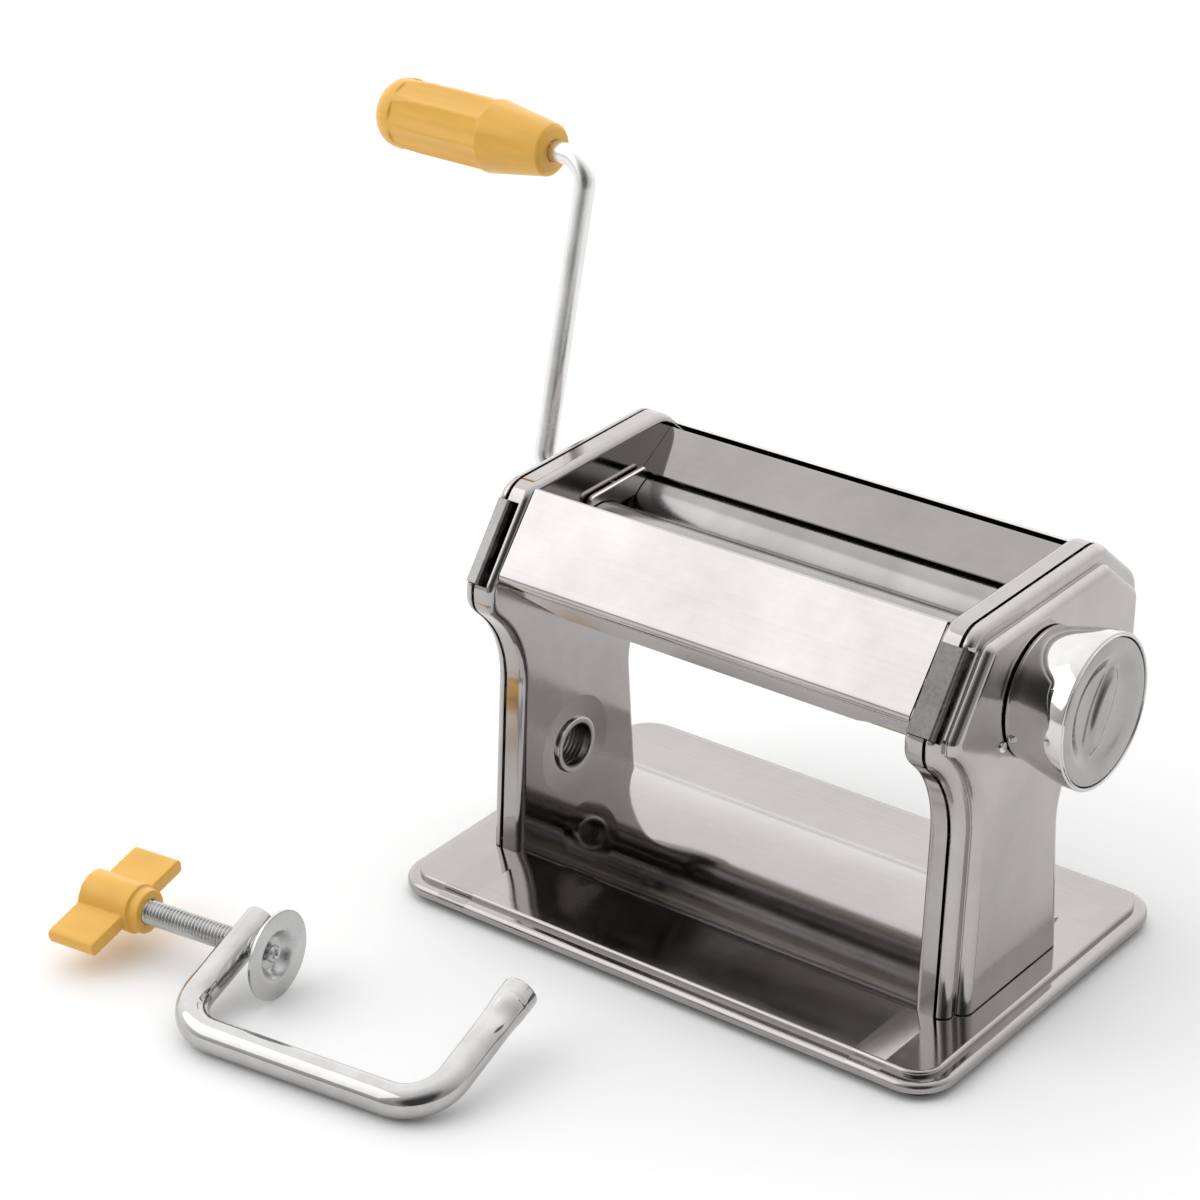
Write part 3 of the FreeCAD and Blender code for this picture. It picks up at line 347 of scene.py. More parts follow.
def bright_chrome(name, settings, blur=1.0, waves=1.0, tone=1.0):
    """Mirror chrome over drawn steel: long soft dents, pin-prick pits and a few dull patches."""
    def build(n):
        dents = n.noise(n.place((38, 38, 38)), 1.0, 2.0, 0.45)
        pits = n.noise(n.place((1500, 1500, 1500)), 1.0, 1.0)
        dull = n.noise(n.place((70, 70, 70)), 1.0, 5.0, 0.6)
        base = n.blend(n.spread(dull, 0.35, 0.7), colour(settings.chrome_colour, 0.9 * tone),
                       colour(settings.chrome_colour, 1.08 * tone))
        rough = 0.035 * blur + n.spread(dull, 0.5, 0.78) * 0.11 * blur + n.spread(pits, 0.72, 0.8) * 0.15
        normal = n.bump(dents, 0.00016 * waves)
        normal = n.bump(n.spread(pits, 0.7, 0.8), 0.00001, 0.5, normal)
        return {"Base Color": base, "Metallic": 1.0, "Roughness": rough, "Normal": normal}
    return finish(name, build)


def satin_rod(settings):
    """Satin-plated bar steel with faint drawing lines and rubbed patches."""
    def build(n):
        cloud = n.noise(n.place((60, 60, 60)), 1.0, 4.0, 0.6)
        lines = n.noise(n.place((1500, 120, 60)), 1.0, 2.0)
        shade = n.spread(cloud * 0.7 + lines * 0.3, 0.35, 0.65)
        base = n.blend(shade, (0.74, 0.735, 0.725, 1), (0.84, 0.835, 0.825, 1))
        rough = settings.panel_roughness * 2.6 + n.spread(cloud, 0.35, 0.7) * 0.10
        return {"Base Color": base, "Metallic": 1.0, "Roughness": rough, "Normal": n.bump(lines, 0.000006)}
    return finish("satin_rod", build)


def brushed_bar(name, dark, light):
    """Bar steel brushed along the slope that it lies on."""
    def build(n):
        slope = n.place((900, 26, 900), (-SLOPE, 0, 0))
        strokes = n.noise(slope, 1.0, 3.0)
        cloud = n.noise(n.place((90, 90, 90)), 1.0, 3.0)
        base = n.blend(n.spread(strokes * 0.75 + cloud * 0.25, 0.35, 0.65), dark, light)
        rough = 0.33 + n.spread(strokes, 0.3, 0.7) * 0.12
        return {"Base Color": base, "Metallic": 1.0, "Roughness": rough, "Normal": n.bump(strokes, 0.00001)}
    return finish(name, build)


def socket_steel(axis):
    """Zinc-plated tube; inside its bore the colour is painted near-black as shade and the surface is rougher."""
    def build(n):
        cloud = n.noise(n.place((140, 140, 140)), 1.0, 4.0, 0.6)
        # Painted shade: inside the bore radius the colour turns near-black.
        bore = 1.0 - n.spread(n.distance(axis), 0.0073, 0.0079)
        base = n.blend(n.spread(cloud, 0.35, 0.65), (0.50, 0.50, 0.50, 1), (0.62, 0.61, 0.59, 1))
        base = n.blend(bore, base, (0.075, 0.072, 0.068, 1))
        rough = 0.12 + n.spread(cloud, 0.3, 0.7) * 0.12 + bore * 0.16
        return {"Base Color": base, "Metallic": 1.0, "Roughness": rough, "Normal": n.bump(cloud, 0.00004)}
    return finish("socket_steel", build)


def zinc_plate():
    """Bright zinc plating with its faint bluish and straw-coloured patches."""
    def build(n):
        cloud = n.noise(n.place((120, 120, 120)), 1.0, 4.0, 0.6)
        grain = n.noise(n.place((1400, 1400, 1400)), 1.0, 2.0)
        base = n.blend(n.spread(cloud, 0.35, 0.65), (0.50, 0.50, 0.502, 1), (0.58, 0.575, 0.565, 1))
        rough = 0.24 + n.spread(cloud, 0.3, 0.7) * 0.08 + n.spread(grain, 0.3, 0.7) * 0.04
        return {"Base Color": base, "Metallic": 1.0, "Roughness": rough, "Normal": n.bump(grain, 0.000002)}
    return finish("zinc_plate", build)


def oiled_steel(name, dark, light, rough_low):
    """Hard steel, dark from heat treatment, with a film of oil that pools here and there."""
    def build(n):
        film = n.noise(n.place((150, 150, 150)), 1.0, 4.0)
        grain = n.noise(n.place((2200, 2200, 2200)), 1.0, 2.0)
        base = n.blend(n.spread(film, 0.35, 0.65), dark, light)
        rough = rough_low + n.spread(film, 0.35, 0.7) * 0.22
        return {"Base Color": base, "Metallic": 1.0, "Roughness": rough, "Normal": n.bump(grain, 0.000008)}
    return finish(name, build)


def plain_nylon(name, low, high):
    """Self-coloured nylon with a slight mottle and a machined grain."""
    def build(n):
        mottle = n.noise(n.place((160, 160, 160)), 1.0, 3.0)
        grain = n.noise(n.place((1800, 500, 500)), 1.0, 2.0)
        base = n.blend(n.spread(mottle, 0.3, 0.7), low, high)
        rough = 0.42 + n.spread(grain, 0.3, 0.7) * 0.14
        return {"Base Color": base, "Roughness": rough, "Normal": n.bump(grain, 0.00001)}
    return finish(name, build)


def black_rubber():
    """Moulded black rubber, dusty on its rims."""
    def build(n):
        dust = n.noise(n.place((240, 240, 240)), 1.0, 4.0)
        grain = n.noise(n.place((2600, 2600, 2600)), 1.0, 2.0)
        base = n.blend(n.spread(dust, 0.4, 0.75), (0.012, 0.012, 0.012, 1), (0.045, 0.044, 0.042, 1))
        rough = 0.62 + n.spread(dust, 0.3, 0.7) * 0.2
        return {"Base Color": base, "Roughness": rough, "Normal": n.bump(grain, 0.00003)}
    return finish("black_rubber", build)


def yellow_plastic(name, settings, flow, tone=1.0):
    """Mustard-yellow moulding: flow streaks along the piece, satin skin and faint rubbed spots."""
    def build(n):
        streaks = n.noise(n.place(flow), 1.0, 3.0, 0.55)
        cloud = n.noise(n.place((45, 45, 45)), 1.0, 2.0)
        skin = n.noise(n.place((2100, 2100, 2100)), 1.0, 2.0)
        rubbed = n.noise(n.place((260, 260, 260)), 1.0, 4.0, 0.6)
        mixed = n.spread(streaks * 0.65 + cloud * 0.35, 0.34, 0.66)
        base = n.blend(mixed, colour(settings.yellow, 0.93 * tone), colour(settings.yellow, 1.06 * tone))
        rough = 0.30 + n.spread(rubbed, 0.4, 0.75) * 0.13 + n.spread(skin, 0.3, 0.7) * 0.05
        normal = n.bump(streaks, 0.00003)
        normal = n.bump(skin, 0.000012, 0.6, normal)
        return {"Base Color": base, "Roughness": rough, "Normal": normal,
                "Subsurface Weight": 0.12, "Subsurface Radius": (0.8, 0.4, 0.1), "Subsurface Scale": 0.0015}
    return finish(name, build)


def pale_floor():
    """Matt pale ground with hardly any tone of its own."""
    def build(n):
        cloud = n.noise(n.place((0.8, 0.8, 0.8)), 1.0)
        base = n.blend(cloud, (0.90, 0.90, 0.90, 1), (0.92, 0.92, 0.92, 1))
        return {"Base Color": base, "Roughness": 0.85, "Specular IOR Level": 0.1}
    return finish("pale_floor", build)


# ---- mesh work ------------------------------------------------------------------------------------------
def smooth_step(value, low, high):
    t = min(max((value - low) / (high - low), 0.0), 1.0)
    return t * t * (3 - 2 * t)


def put_piece(bm, name, node, material, sharp=30.0, tidy_normals=True):
    """Turns a bmesh into the finished piece that stands for a CAD node and rides on its body."""
    if tidy_normals:
        bmesh.ops.remove_doubles(bm, verts=bm.verts, dist=MERGE)
        bmesh.ops.recalc_face_normals(bm, faces=bm.faces)
    limit = math.radians(sharp)
    for face in bm.faces:
        face.smooth = True
    for edge in bm.edges:
        edge.smooth = not (len(edge.link_faces) == 2 and edge.calc_face_angle(0.0) > limit)
    mesh = bpy.data.meshes.new(name)
    bm.to_mesh(mesh)
    bm.free()
    mesh.materials.append(material)
    piece = bpy.data.objects.new(name, mesh)
    bpy.context.scene.collection.objects.link(piece)
    weighted = piece.modifiers.new("face weight", "WEIGHTED_NORMAL")
    weighted.keep_sharp = True
    weighted.weight = 90
    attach(piece, BODY_OF[node])
    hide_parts(node)
    return piece


def copy_of(node):
    """The CAD node's surface as one connected mesh."""
    bm = bmesh.new()
    bm.from_mesh(frame["nodes"][node].data)
    bmesh.ops.remove_doubles(bm, verts=bm.verts, dist=0.0000015)
    return bm


def dress(node, material, sharp=30.0):
    """Finished piece with the CAD node's own shape."""
    return put_piece(copy_of(node), node + "_finished", node, material, sharp, tidy_normals=False)


def moulded(node, material, voxel, rounds):
    """Finished piece with the CAD node's shape and the soft edges of a moulding."""
    bm = copy_of(node)
    mesh = bpy.data.meshes.new("blank")
    bm.to_mesh(mesh)
    bm.free()
    blank = bpy.data.objects.new("blank", mesh)
    bpy.context.scene.collection.objects.link(blank)
    remesh = blank.modifiers.new("skin", "REMESH")
    remesh.mode = "VOXEL"
    remesh.voxel_size = voxel
    bpy.context.view_layer.update()
    evaluated = blank.evaluated_get(bpy.context.evaluated_depsgraph_get())
    bm = bmesh.new()
    bm.from_mesh(evaluated.to_mesh())
    evaluated.to_mesh_clear()
    bpy.data.objects.remove(blank)
    for _ in range(rounds):
        bmesh.ops.smooth_vert(bm, verts=bm.verts, factor=0.5,
                              use_axis_x=True, use_axis_y=True, use_axis_z=True)
    return put_piece(bm, node + "_finished", node, material, 60.0, tidy_normals=False)


def along_x(y, z):
    """Frame whose X runs along the machine through (y, z)."""
    return Matrix.Translation((0, y, z))


def lathe(profile, place, segments=96):
    """Bmesh of (x, radius) points spun about the X axis of the given frame."""
    bm = bmesh.new()
    chain = [bm.verts.new((x, 0.0, r)) for x, r in profile]
    edges = [bm.edges.new(pair) for pair in zip(chain, chain[1:])]
    bmesh.ops.spin(bm, geom=chain + edges, cent=(0, 0, 0), axis=(1, 0, 0), angle=2 * math.pi,
                   steps=segments, use_merge=True, use_duplicate=False)
    bmesh.ops.remove_doubles(bm, verts=bm.verts, dist=MERGE)
    bmesh.ops.recalc_face_normals(bm, faces=bm.faces)
    bmesh.ops.transform(bm, matrix=place, verts=bm.verts)
    return bm


def join_into(bm, other):
    """Adds another bmesh's surface to this one."""
    mesh = bpy.data.meshes.new("joined")
    other.to_mesh(mesh)
    other.free()
    bm.from_mesh(mesh)
    bpy.data.meshes.remove(mesh)


def clamp_frame():
    """The clamp's own frame: X along its screw, Y along its arms, origin at the bow's left corner."""
    x = Vector(JOINTS["clamp_screw_turn"]["axis"]).normalized()
    y = Vector(MOUNTS["clamp_tip"]["axis"]).normalized()
    z = x.cross(y)
    tip = Vector(MOUNTS["clamp_tip"]["pos_m"])
    corner = tip - x * CLAMP_WIDTH - y * CLAMP_ARM
    turned = Matrix((x, y, z)).transposed().to_4x4()
    return Matrix.Translation(corner) @ turned


# ---- operators --------------------------------------------------------------------------------------------
class PASTA_OT_stage(bpy.types.Operator):
    """Pale floor, soft studio light and the camera"""
    bl_idname = "pasta.stage"
    bl_label = "Stage and camera"

    def execute(self, context):
        settings = context.scene.pasta_stage
        bm = bmesh.new()
        bmesh.ops.create_grid(bm, x_segments=8, y_segments=8, size=6.0)
        mesh = bpy.data.meshes.new("floor")
        bm.to_mesh(mesh)
        bm.free()
        floor = bpy.data.objects.new("floor", mesh)
        context.scene.collection.objects.link(floor)
        mesh.materials.append(pale_floor())

        camera = bpy.data.objects.new("camera", bpy.data.cameras.new("camera"))
        camera.data.lens = settings.focal_length
        camera.data.clip_end = 50.0
        az, el, roll = settings.camera_azimuth, settings.camera_elevation, settings.camera_roll
        right = Vector((math.cos(az), math.sin(az), 0))
        back = Vector((math.sin(az) * math.cos(el), -math.cos(az) * math.cos(el), math.sin(el)))
        up = back.cross(right)
        turned_right = right * math.cos(roll) + up * math.sin(roll)
        turned_up = up * math.cos(roll) - right * math.sin(roll)
        turn = Matrix((turned_right, turned_up, back)).transposed()
        camera.matrix_world = Matrix.Translation(settings.camera_place) @ turn.to_4x4()
        context.scene.collection.objects.link(camera)
        context.scene.camera = camera
        context.scene.view_settings.view_transform = "Standard"

        for name, place, aim, size, power in STUDIO_LIGHTS:
            light = bpy.data.lights.new(name, "AREA")
            light.shape = "RECTANGLE"
            light.size, light.size_y = size
            light.energy = power
            lamp = bpy.data.objects.new(name, light)
            lamp.location = place
            lamp.rotation_euler = (Vector(place) - Vector(aim)).to_track_quat("Z", "Y").to_euler()
            context.scene.collection.objects.link(lamp)

        world = bpy.data.worlds.new("studio")
        world.use_nodes = True
        context.scene.world = world
        n = Nodes(world.node_tree)
        split = n.add("ShaderNodeSeparateXYZ", {}, {
            "Vector": n.add("ShaderNodeTexCoord").outputs["Generated"]})
        x, y, z = (n.value(split.outputs[i]) for i in range(3))
        towards_light = y * 0.69 + z * 0.47 - x * 0.55
        level = n.spread(towards_light, -0.45, 0.75, 0.36, 1.22)
        towards_camera = x * 0.556 - y * 0.692 + z * 0.459
        level = (level - n.spread(towards_camera, 0.80, 0.93, 0.0, 0.30)) * settings.daylight
        n.add("ShaderNodeOutputWorld", {}, {"Surface": n.add("ShaderNodeBackground", {}, {
            "Color": (1.0, 1.0, 1.0, 1.0), "Strength": level}).outputs[0]})
        return {"FINISHED"}


class PASTA_OT_base(bpy.types.Operator):
    """Pressed base plate"""
    bl_idname = "pasta.base"
    bl_label = "Base plate"

    def execute(self, context):
        steel = context.scene.pasta_steel
        dress("base_plate", base_sheet(steel), 32.0)
        return {"FINISHED"}


class PASTA_OT_plates(bpy.types.Operator):
    """Inner plates and stepped outer covers"""
    bl_idname = "pasta.plates"
    bl_label = "Side plates and covers"

    def execute(self, context):
        steel = context.scene.pasta_steel
        socket = MOUNTS["clamp_socket"]["pos_m"][1:]
        dress("right_inner_plate", polished_sheet("plate_sheet", steel, math.radians(90), 1.0, 1.2), 60.0)
        dress("left_inner_plate", polished_sheet(
            "drawn_plate_sheet", steel, math.radians(90), 1.0, 1.2, 1.4, socket), 60.0)
        # Painted light: the outer covers' copy of the sheet has its colour raised 1.12 times.
        for node in ("left_outer_cover", "right_outer_cover"):
            dress(node, polished_sheet("side_cover_painted_light", steel, math.radians(90), 1.12, 1.6, 1.2), 100.0)
        return {"FINISHED"}


class PASTA_OT_socket(bpy.types.Operator):
    """Ribbed steel socket for the clamp"""
    bl_idname = "pasta.socket"
    bl_label = "Clamp socket"

    def execute(self, context):
        low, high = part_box("clamp_socket")
        y, z = MOUNTS["clamp_socket"]["pos_m"][1:]
        bore, tube, collar, rib = SOCKET_BORE, SOCKET_TUBE, SOCKET_COLLAR, SOCKET_RIB
        inner, outer = high.x, low.x
        bead = [(inner - 0.35 * MM, bore), (inner - 0.08 * MM, bore + 0.2 * MM), (inner, bore + 0.6 * MM),
                (inner, collar - 0.5 * MM), (inner - 0.15 * MM, collar - 0.15 * MM), (inner - 0.5 * MM, collar),
                (inner - 0.8 * MM, collar), (inner - 0.8 * MM, tube)]
        end = [(outer + 0.3 * MM, tube), (outer, tube - 0.3 * MM),
               (outer, bore + 0.3 * MM), (outer + 0.3 * MM, bore)]
        ribs = []
        count = int((inner - outer - 2.0 * MM) / rib)
        for k in range(count):
            x = outer + 0.8 * MM + k * rib
            ribs += [(x, bore), (x + 0.25 * rib, bore), (x + 0.45 * rib, bore + 0.4 * MM),
                     (x + 0.75 * rib, bore + 0.4 * MM)]
        profile = bead + end + ribs + bead[:1]
        put_piece(lathe(profile, along_x(y, z), 96), "clamp_socket_finished", "clamp_socket",
                  socket_steel((y, z)), 40.0)
        return {"FINISHED"}


class PASTA_OT_head(bpy.types.Operator):
    """Covers, hopper plate and dough guides between the side plates"""
    bl_idname = "pasta.head"
    bl_label = "Head covers"

    def execute(self, context):
        steel = context.scene.pasta_steel
        # Painted light: the front and rear covers' copy of the sheet has its colour raised 1.12 times.
        bright = polished_sheet("head_sheet_painted_light", steel, 0.0, 1.12, 0.7, 0.8)
        for node in ("front_cover", "rear_cover"):
            dress(node, bright, 32.0)
        # Painted shade: the hopper plate's copy of the sheet has its colour lowered to 0.74 times.
        dress("hopper_plate", polished_sheet("hopper_painted_shade", steel, 0.0, 0.74, 0.8, 0.8), 32.0)
        dress("front_apron", polished_sheet("narrow_sheet", steel, 0.0, 0.9, 1.5), 32.0)
        # Painted light: the dough guides' copy of the sheet has its colour raised 1.9 times.
        for node in ("left_dough_guide", "right_dough_guide"):
            dress(node, polished_sheet("guide_painted_light", steel, 0.0, 1.9, 2.5, 0.5), 32.0)
        return {"FINISHED"}


class PASTA_OT_rails(bpy.types.Operator):
    """Rails for a cutter head"""
    bl_idname = "pasta.rails"
    bl_label = "Attachment rails"

    def execute(self, context):
        # The two rails are one bar steel in two painted copies: the right rail's darker as painted shade, the left
        # rail's lighter as painted light.
        dark = brushed_bar("rail_bar_painted_shade", (0.13, 0.127, 0.122, 1), (0.20, 0.195, 0.188, 1))
        light = brushed_bar("rail_bar_painted_light", (0.26, 0.25, 0.245, 1), (0.36, 0.35, 0.343, 1))
        dress("left_attachment_rail", light, 32.0)
        dress("right_attachment_rail", dark, 32.0)
        return {"FINISHED"}


class PASTA_OT_rollers(bpy.types.Operator):
    """The two rollers"""
    bl_idname = "pasta.rollers"
    bl_label = "Rollers"

    def execute(self, context):
        for node in ("front_roller", "rear_roller"):
            dress(node, ground_roller(context.scene.pasta_steel), 25.0)
        return {"FINISHED"}


class PASTA_OT_works(bpy.types.Operator):
    """Gears, bearings, scrapers, cam and springs inside the machine"""
    bl_idname = "pasta.works"
    bl_label = "Gears and bearings"

    def execute(self, context):
        dark = oiled_steel("oiled_steel", (0.10, 0.098, 0.095, 1), (0.23, 0.225, 0.215, 1), 0.22)
        spring = oiled_steel("spring_steel", (0.22, 0.22, 0.21, 1), (0.38, 0.375, 0.36, 1), 0.20)
        white = plain_nylon("white_nylon", (0.66, 0.64, 0.58, 1), (0.78, 0.76, 0.70, 1))
        cream = plain_nylon("cream_nylon", (0.58, 0.55, 0.47, 1), (0.70, 0.67, 0.58, 1))
        finishes = {"gear_steel": dark, "spring_steel": spring, "bearing_nylon": white,
                    "scraper_nylon": cream, "zinc_steel": zinc_plate()}
        for node in INNER_NODES:
            dress(node, finishes[SLOT_OF[node]], 32.0)
        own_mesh(bpy.data.objects["knob_spring_finished"])
        return {"FINISHED"}


class PASTA_OT_feet(bpy.types.Operator):
    """Rubber feet"""
    bl_idname = "pasta.feet"
    bl_label = "Feet"

    def execute(self, context):
        dress("base_feet", black_rubber(), 32.0)
        return {"FINISHED"}


class PASTA_OT_knob(bpy.types.Operator):
    """Drawn cup, pressed face and index pin of the adjusting knob"""
    bl_idname = "pasta.knob"
    bl_label = "Adjusting knob"

    def execute(self, context):
        steel, settings = context.scene.pasta_steel, context.scene.pasta_knob
        low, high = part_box("knob_shell")
        centre = JOINTS["knob_turn"]["pos_m"]
        place = along_x(centre[1], centre[2])
        radius = (high.y - low.y) / 2
        self.shell(place, low.x, high.x, radius, steel)
        self.face(place, radius, steel, settings)
        self.pin(steel)
        return {"FINISHED"}

    def shell(self, place, back, front, r, steel):
        neck = KNOB_NECK
        bead = [(back + 0.1 * MM, neck - 0.8 * MM), (back, neck - 0.4 * MM),
                (back + 0.15 * MM, neck - 0.05 * MM), (back + 0.6 * MM, neck + 0.12 * MM),
                (back + 1.1 * MM, neck + 0.1 * MM),
                (back + 1.4 * MM, neck + 0.02 * MM)]
        wall = [(back + 4.0 * MM, neck + 0.66 * MM), (back + 8.0 * MM, neck + 1.72 * MM),
                (front - 8.0 * MM, r - 0.78 * MM), (front - 6.0 * MM, r - 0.34 * MM),
                (front - 4.6 * MM, r - 0.12 * MM), (front - 3.4 * MM, r - 0.02 * MM), (front - 2.2 * MM, r)]
        rim = [(front - 0.35 * MM * (1 - math.sin(t)) - 0.35 * MM, r - 0.7 * MM * (1 - math.cos(t)))
               for t in [math.radians(a) for a in (0, 30, 60, 90)]]
        rim += [(front, r - 0.8 * MM), (front - 0.1 * MM, r - 1.2 * MM), (front - 0.5 * MM, r - 1.4 * MM),
                (front - 2.4 * MM, r - 1.4 * MM)]
        web = [(front - 2.4 * MM, 6.6 * MM), (front - 3.4 * MM, 6.6 * MM), (front - 3.4 * MM, r - 1.1 * MM),
               (front - 3.9 * MM, r - 0.9 * MM), (front - 4.6 * MM, r - 1.0 * MM),
               (back + 0.4 * MM, neck - 0.9 * MM), bead[0]]
        bm = lathe(bead + wall + rim + web, place, 160)
        chrome = bright_chrome("knob_chrome", steel, 0.7, 1.6)
        put_piece(bm, "knob_shell_finished", "knob_shell", chrome, 40.0)

    def face(self, place, r, steel, settings):
        low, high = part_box("knob_face")
        edge = r - 1.5 * MM
        front, back = high.x, low.x
        rings = 46
        crown = [(front, edge * k / rings) for k in range(rings - 2)]
        rim = [(front - 0.05 * MM, edge - 0.7 * MM), (front - 0.25 * MM, edge - 0.25 * MM),
               (front - 0.6 * MM, edge)]
        under = [(back, edge), (back, 0.0)]
        bm = lathe(crown + rim + under, place, 144)
        lean = settings.bar_lean
        centre = Vector((0, place.translation.y, place.translation.z))
        for v in bm.verts:
            if v.co.x < front - 0.7 * MM:
                continue
            y, z = v.co.y - centre.y, v.co.z - centre.z
            along = y * math.sin(lean) + z * math.cos(lean)
            across = y * math.cos(lean) - z * math.sin(lean)
            v.co.x -= self.depth(math.hypot(y, z), along, across, settings)
        # Painted shade: the face's copy of the chrome has its colour lowered to 0.62 times.
        material = bright_chrome("knob_face_chrome_painted_shade", steel, 3.4, 0.8, 0.62)
        put_piece(bm, "knob_face_finished", "knob_face", material, 60.0)

    def depth(self, r, along, across, settings):
        """How far the face lies below its border: a soft-edged dish with a lens-shaped bar across it."""
        dish = 1.0 - smooth_step(r, settings.dish_radius - 4.0 * MM, settings.dish_radius + 2.4 * MM)
        reach = settings.dish_radius - 1.6 * MM
        half = 3.6 * MM * max(1.0 - (along / reach) ** 2, 0.0) + 0.2 * MM
        flank = 1.0 * MM if across < 0 else 3.6 * MM
        bar = 1.0 - smooth_step(abs(across), half - 1.2 * MM, half + flank)
        bar *= 1.0 - smooth_step(abs(along), reach - 6.0 * MM, reach + 1.5 * MM)
        return settings.dish_depth * dish * (1.0 - 0.92 * bar)

    def pin(self, steel):
        low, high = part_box("index_pin")
        y, z = (low.y + high.y) / 2, (low.z + high.z) / 2
        r = (high.y - low.y) / 2
        dome = [(high.x - 0.75 * MM * (1 - math.cos(t)), r * math.sin(t))
                for t in [math.radians(a) for a in range(0, 91, 10)]]
        stem = [(high.x - 1.5 * MM, r), (high.x - 1.5 * MM, 1.0 * MM), (low.x, 1.0 * MM), (low.x, 0.0)]
        bm = lathe(dome + stem, along_x(y, z), 48)
        chrome = bright_chrome("pin_chrome", steel, 0.8, 0.2, 1.15)
        put_piece(bm, "index_pin_finished", "index_pin", chrome, 40.0)


class PASTA_OT_crank(bpy.types.Operator):
    """Bent bar of the crank"""
    bl_idname = "pasta.crank"
    bl_label = "Crank bar"

    def execute(self, context):
        dress("crank_rod", satin_rod(context.scene.pasta_steel), 32.0)
        return {"FINISHED"}


class PASTA_OT_grip(bpy.types.Operator):
    """Moulded fluted grip"""
    bl_idname = "pasta.grip"
    bl_label = "Grip"

    def execute(self, context):
        settings = context.scene.pasta_plastic
        material = yellow_plastic("grip_plastic", settings, (28, 420, 420))
        moulded("handle_grip", material, settings.seam, 2)
        return {"FINISHED"}


class PASTA_OT_clamp_bow(bpy.types.Operator):
    """Bent rod of the table clamp, with its flared free end"""
    bl_idname = "pasta.clamp_bow"
    bl_label = "Clamp bow"

    def execute(self, context):
        steel, settings = context.scene.pasta_steel, context.scene.pasta_clamp
        rod, bend, short_arm = CLAMP_ROD, CLAMP_BEND, CLAMP_SHORT_ARM
        bm = bmesh.new()
        start = Matrix.Translation((0, short_arm, 0)) @ Euler((math.radians(90), 0, 0)).to_matrix().to_4x4()
        ring = bmesh.ops.create_circle(bm, cap_ends=False, segments=64, radius=rod, matrix=start)
        loop = list({e for v in ring["verts"] for e in v.link_edges})
        bmesh.ops.contextual_create(bm, geom=loop)
        loop = self.run(bm, loop, Vector((0, -(short_arm - bend), 0)), 12)
        loop = self.turn(bm, loop, Vector((bend, bend, 0)), 14)
        loop = self.run(bm, loop, Vector((CLAMP_WIDTH - 2 * bend, 0, 0)), 20)
        loop = self.turn(bm, loop, Vector((CLAMP_WIDTH - bend, bend, 0)), 14)
        loop = self.run(bm, loop, Vector((0, CLAMP_ARM - bend, 0)), 60)
        bmesh.ops.contextual_create(bm, geom=loop)
        self.shape_tip(bm, rod, settings)
        bmesh.ops.remove_doubles(bm, verts=bm.verts, dist=MERGE)
        caps = [f for f in bm.faces if len(f.verts) > 8]
        ends = list({e for f in caps for e in f.edges})
        bmesh.ops.bevel(bm, geom=ends, offset=0.35 * MM, affect="EDGES",
                        segments=3, profile=0.5, material=-1)
        bmesh.ops.recalc_face_normals(bm, faces=bm.faces)
        bmesh.ops.transform(bm, matrix=clamp_frame(), verts=bm.verts)
        chrome = bright_chrome("bow_chrome", steel, 1.8, 1.5, 0.84)
        put_piece(bm, "clamp_bow_finished", "clamp_bow", chrome, 40.0)
        return {"FINISHED"}

    def run(self, bm, loop, step, count):
        """Draws the open ring out along a straight stretch."""
        for _ in range(count):
            made = bmesh.ops.extrude_edge_only(bm, edges=loop)["geom"]
            moved = [g for g in made if isinstance(g, bmesh.types.BMVert)]
            bmesh.ops.translate(bm, vec=step / count, verts=moved)
            loop = [g for g in made if isinstance(g, bmesh.types.BMEdge) and len(g.link_faces) == 1]
        return loop

    def turn(self, bm, loop, centre, count):
        """Takes the open ring round a quarter bend about an upright axis."""
        made = bmesh.ops.spin(bm, geom=loop, cent=centre, axis=(0, 0, 1), angle=math.radians(90),
                              steps=count, use_merge=False, use_duplicate=False)["geom_last"]
        return [g for g in made if isinstance(g, bmesh.types.BMEdge)]

    def shape_tip(self, bm, rod, settings):
        """Flares the free end, scores a ring behind it and pinches a flat below that."""
        axis = Vector((CLAMP_WIDTH, 0, 0))
        for v in bm.verts:
            if v.co.x < CLAMP_WIDTH - 8 * MM or v.co.y < CLAMP_ARM - 24 * MM:
                continue
            from_end = CLAMP_ARM - v.co.y
            spoke = Vector((v.co.x - axis.x, 0, v.co.z))
            flare = settings.flare * (1 - smooth_step(from_end, 5.6 * MM, 14 * MM))
            groove = 0.16 * MM * math.exp(-((from_end - 5.5 * MM) / (0.35 * MM)) ** 2)
            facing = spoke.normalized().dot(Vector((0.35, 0, 0.94))) if spoke.length > 0 else 0.0
            side = max(facing, 0.0) ** 4
            pinch = 1.0 * MM * side * math.exp(-((from_end - 13.5 * MM) / (4.6 * MM)) ** 2)
            scale = (rod + flare - groove - pinch) / rod
            v.co.x = axis.x + spoke.x * scale
            v.co.z = spoke.z * scale


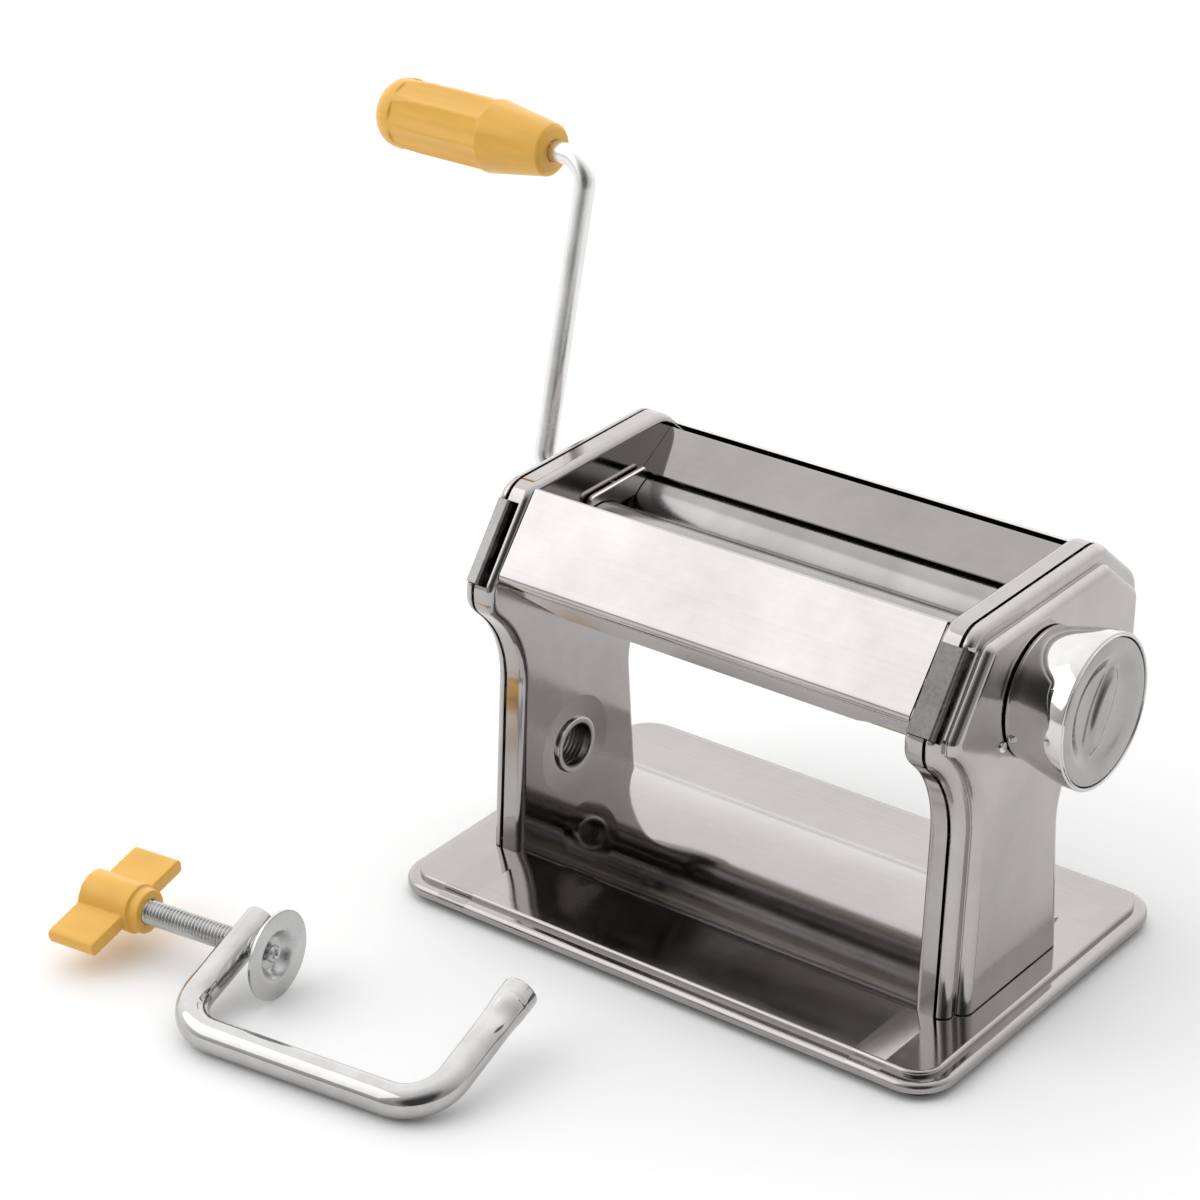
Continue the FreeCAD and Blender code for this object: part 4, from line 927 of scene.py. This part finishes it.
class PASTA_OT_clamp_screw(bpy.types.Operator):
    """Threaded spindle with its peened end"""
    bl_idname = "pasta.clamp_screw"
    bl_label = "Clamp screw"

    def execute(self, context):
        settings = context.scene.pasta_clamp
        outer, pitch, depth = SCREW_R, settings.pitch, settings.thread_depth
        start, stop = -38.6 * MM, 8.75 * MM
        turns = int((stop - start) / pitch)
        steps = 32
        bm = bmesh.new()
        flank = [(0.0, outer - depth), (0.36 * pitch, outer - 0.06 * MM), (0.44 * pitch, outer),
                 (0.56 * pitch, outer), (0.64 * pitch, outer - 0.06 * MM), (pitch, outer - depth)]
        chain = [bm.verts.new((start + x, 0, r)) for x, r in flank]
        edges = [bm.edges.new(pair) for pair in zip(chain, chain[1:])]
        bmesh.ops.spin(bm, geom=chain + edges, cent=(0, 0, 0), axis=(1, 0, 0),
                       angle=2 * math.pi * turns, steps=steps * turns, dvec=(pitch / steps, 0, 0),
                       use_merge=False, use_duplicate=False)
        bmesh.ops.remove_doubles(bm, verts=bm.verts, dist=0.00001)
        core = outer - depth - 0.02 * MM
        lead = [(-46.0 * MM, 0), (-46.0 * MM, core), (9.0 * MM, core), (9.0 * MM, 2.0 * MM), (11.8 * MM, 2.0 * MM),
                (11.8 * MM, 2.8 * MM), (12.3 * MM, 2.8 * MM), (12.9 * MM, 2.2 * MM), (12.7 * MM, 1.5 * MM),
                (11.9 * MM, 1.1 * MM), (11.7 * MM, 0)]
        join_into(bm, lathe(lead, Matrix.Identity(4), 48))
        bmesh.ops.transform(bm, matrix=clamp_frame() @ Matrix.Translation((0, SCREW_AT, 0)), verts=bm.verts)
        put_piece(bm, "clamp_screw_finished", "clamp_screw", zinc_plate(), 25.0, tidy_normals=False)
        return {"FINISHED"}


class PASTA_OT_clamp_wing(bpy.types.Operator):
    """Moulded wing of the clamp screw"""
    bl_idname = "pasta.clamp_wing"
    bl_label = "Clamp wing"

    def execute(self, context):
        settings = context.scene.pasta_plastic
        material = yellow_plastic("wing_plastic", settings, (60, 60, 60), 1.02)
        moulded("clamp_wing", material, settings.seam, 4)
        return {"FINISHED"}


class PASTA_OT_pressure_plate(bpy.types.Operator):
    """Dished plate on the clamp screw's end"""
    bl_idname = "pasta.pressure_plate"
    bl_label = "Pressure plate"

    def execute(self, context):
        r = PRESSURE_PLATE_R
        front = [(10.6 * MM, 2.05 * MM), (10.6 * MM, 4.6 * MM), (11.1 * MM, 5.5 * MM), (12.4 * MM, 6.7 * MM),
                 (13.3 * MM, 7.4 * MM), (13.85 * MM, 8.3 * MM), (14.0 * MM, 9.4 * MM), (14.1 * MM, r - 0.3 * MM),
                 (13.95 * MM, r)]
        back = [(13.1 * MM, r), (12.9 * MM, r - 0.3 * MM), (12.8 * MM, 9.2 * MM), (12.5 * MM, 8.4 * MM),
                (11.6 * MM, 7.5 * MM), (10.0 * MM, 6.4 * MM), (9.5 * MM, 5.6 * MM), (9.3 * MM, 4.8 * MM),
                (9.3 * MM, 2.05 * MM), (10.6 * MM, 2.05 * MM)]
        place = clamp_frame() @ Matrix.Translation((0, SCREW_AT, 0))
        bm = lathe(front + back, place, 96)
        put_piece(bm, "pressure_plate_finished", "pressure_plate", zinc_plate(), 50.0)
        return {"FINISHED"}


class PASTA_PT_panel(bpy.types.Panel):
    """Buttons that build the machine piece by piece"""
    bl_idname = "PASTA_PT_panel"
    bl_label = "Pasta roller"
    bl_space_type = "VIEW_3D"
    bl_region_type = "UI"
    bl_category = "Pasta roller"

    def draw(self, context):
        for operator in OPERATORS:
            self.layout.operator(operator.bl_idname)
        for name in SETTINGS:
            settings = getattr(context.scene, name)
            for prop in settings.bl_rna.properties:
                if prop.identifier not in ("rna_type", "name"):
                    self.layout.prop(settings, prop.identifier)


SETTINGS = {"pasta_steel": SteelSettings, "pasta_plastic": PlasticSettings, "pasta_knob": KnobSettings,
            "pasta_clamp": ClampSettings, "pasta_stage": StageSettings}
OPERATORS = [
    PASTA_OT_stage, PASTA_OT_base, PASTA_OT_plates, PASTA_OT_socket, PASTA_OT_head, PASTA_OT_rails,
    PASTA_OT_rollers, PASTA_OT_works, PASTA_OT_feet, PASTA_OT_knob, PASTA_OT_crank, PASTA_OT_grip,
    PASTA_OT_clamp_bow, PASTA_OT_clamp_screw, PASTA_OT_clamp_wing, PASTA_OT_pressure_plate,
]


def register():
    for cls in [*SETTINGS.values(), *OPERATORS, PASTA_PT_panel]:
        bpy.utils.register_class(cls)
    for name, cls in SETTINGS.items():
        setattr(bpy.types.Scene, name, bpy.props.PointerProperty(type=cls))


def unregister():
    for name in SETTINGS:
        delattr(bpy.types.Scene, name)
    for cls in [PASTA_PT_panel, *reversed(OPERATORS), *reversed(SETTINGS.values())]:
        bpy.utils.unregister_class(cls)


def main():
    register()
    for operator in OPERATORS:
        group, name = operator.bl_idname.split(".")
        getattr(getattr(bpy.ops, group), name)()
    bpy.context.view_layer.update()


if __name__ == "__main__":
    main()
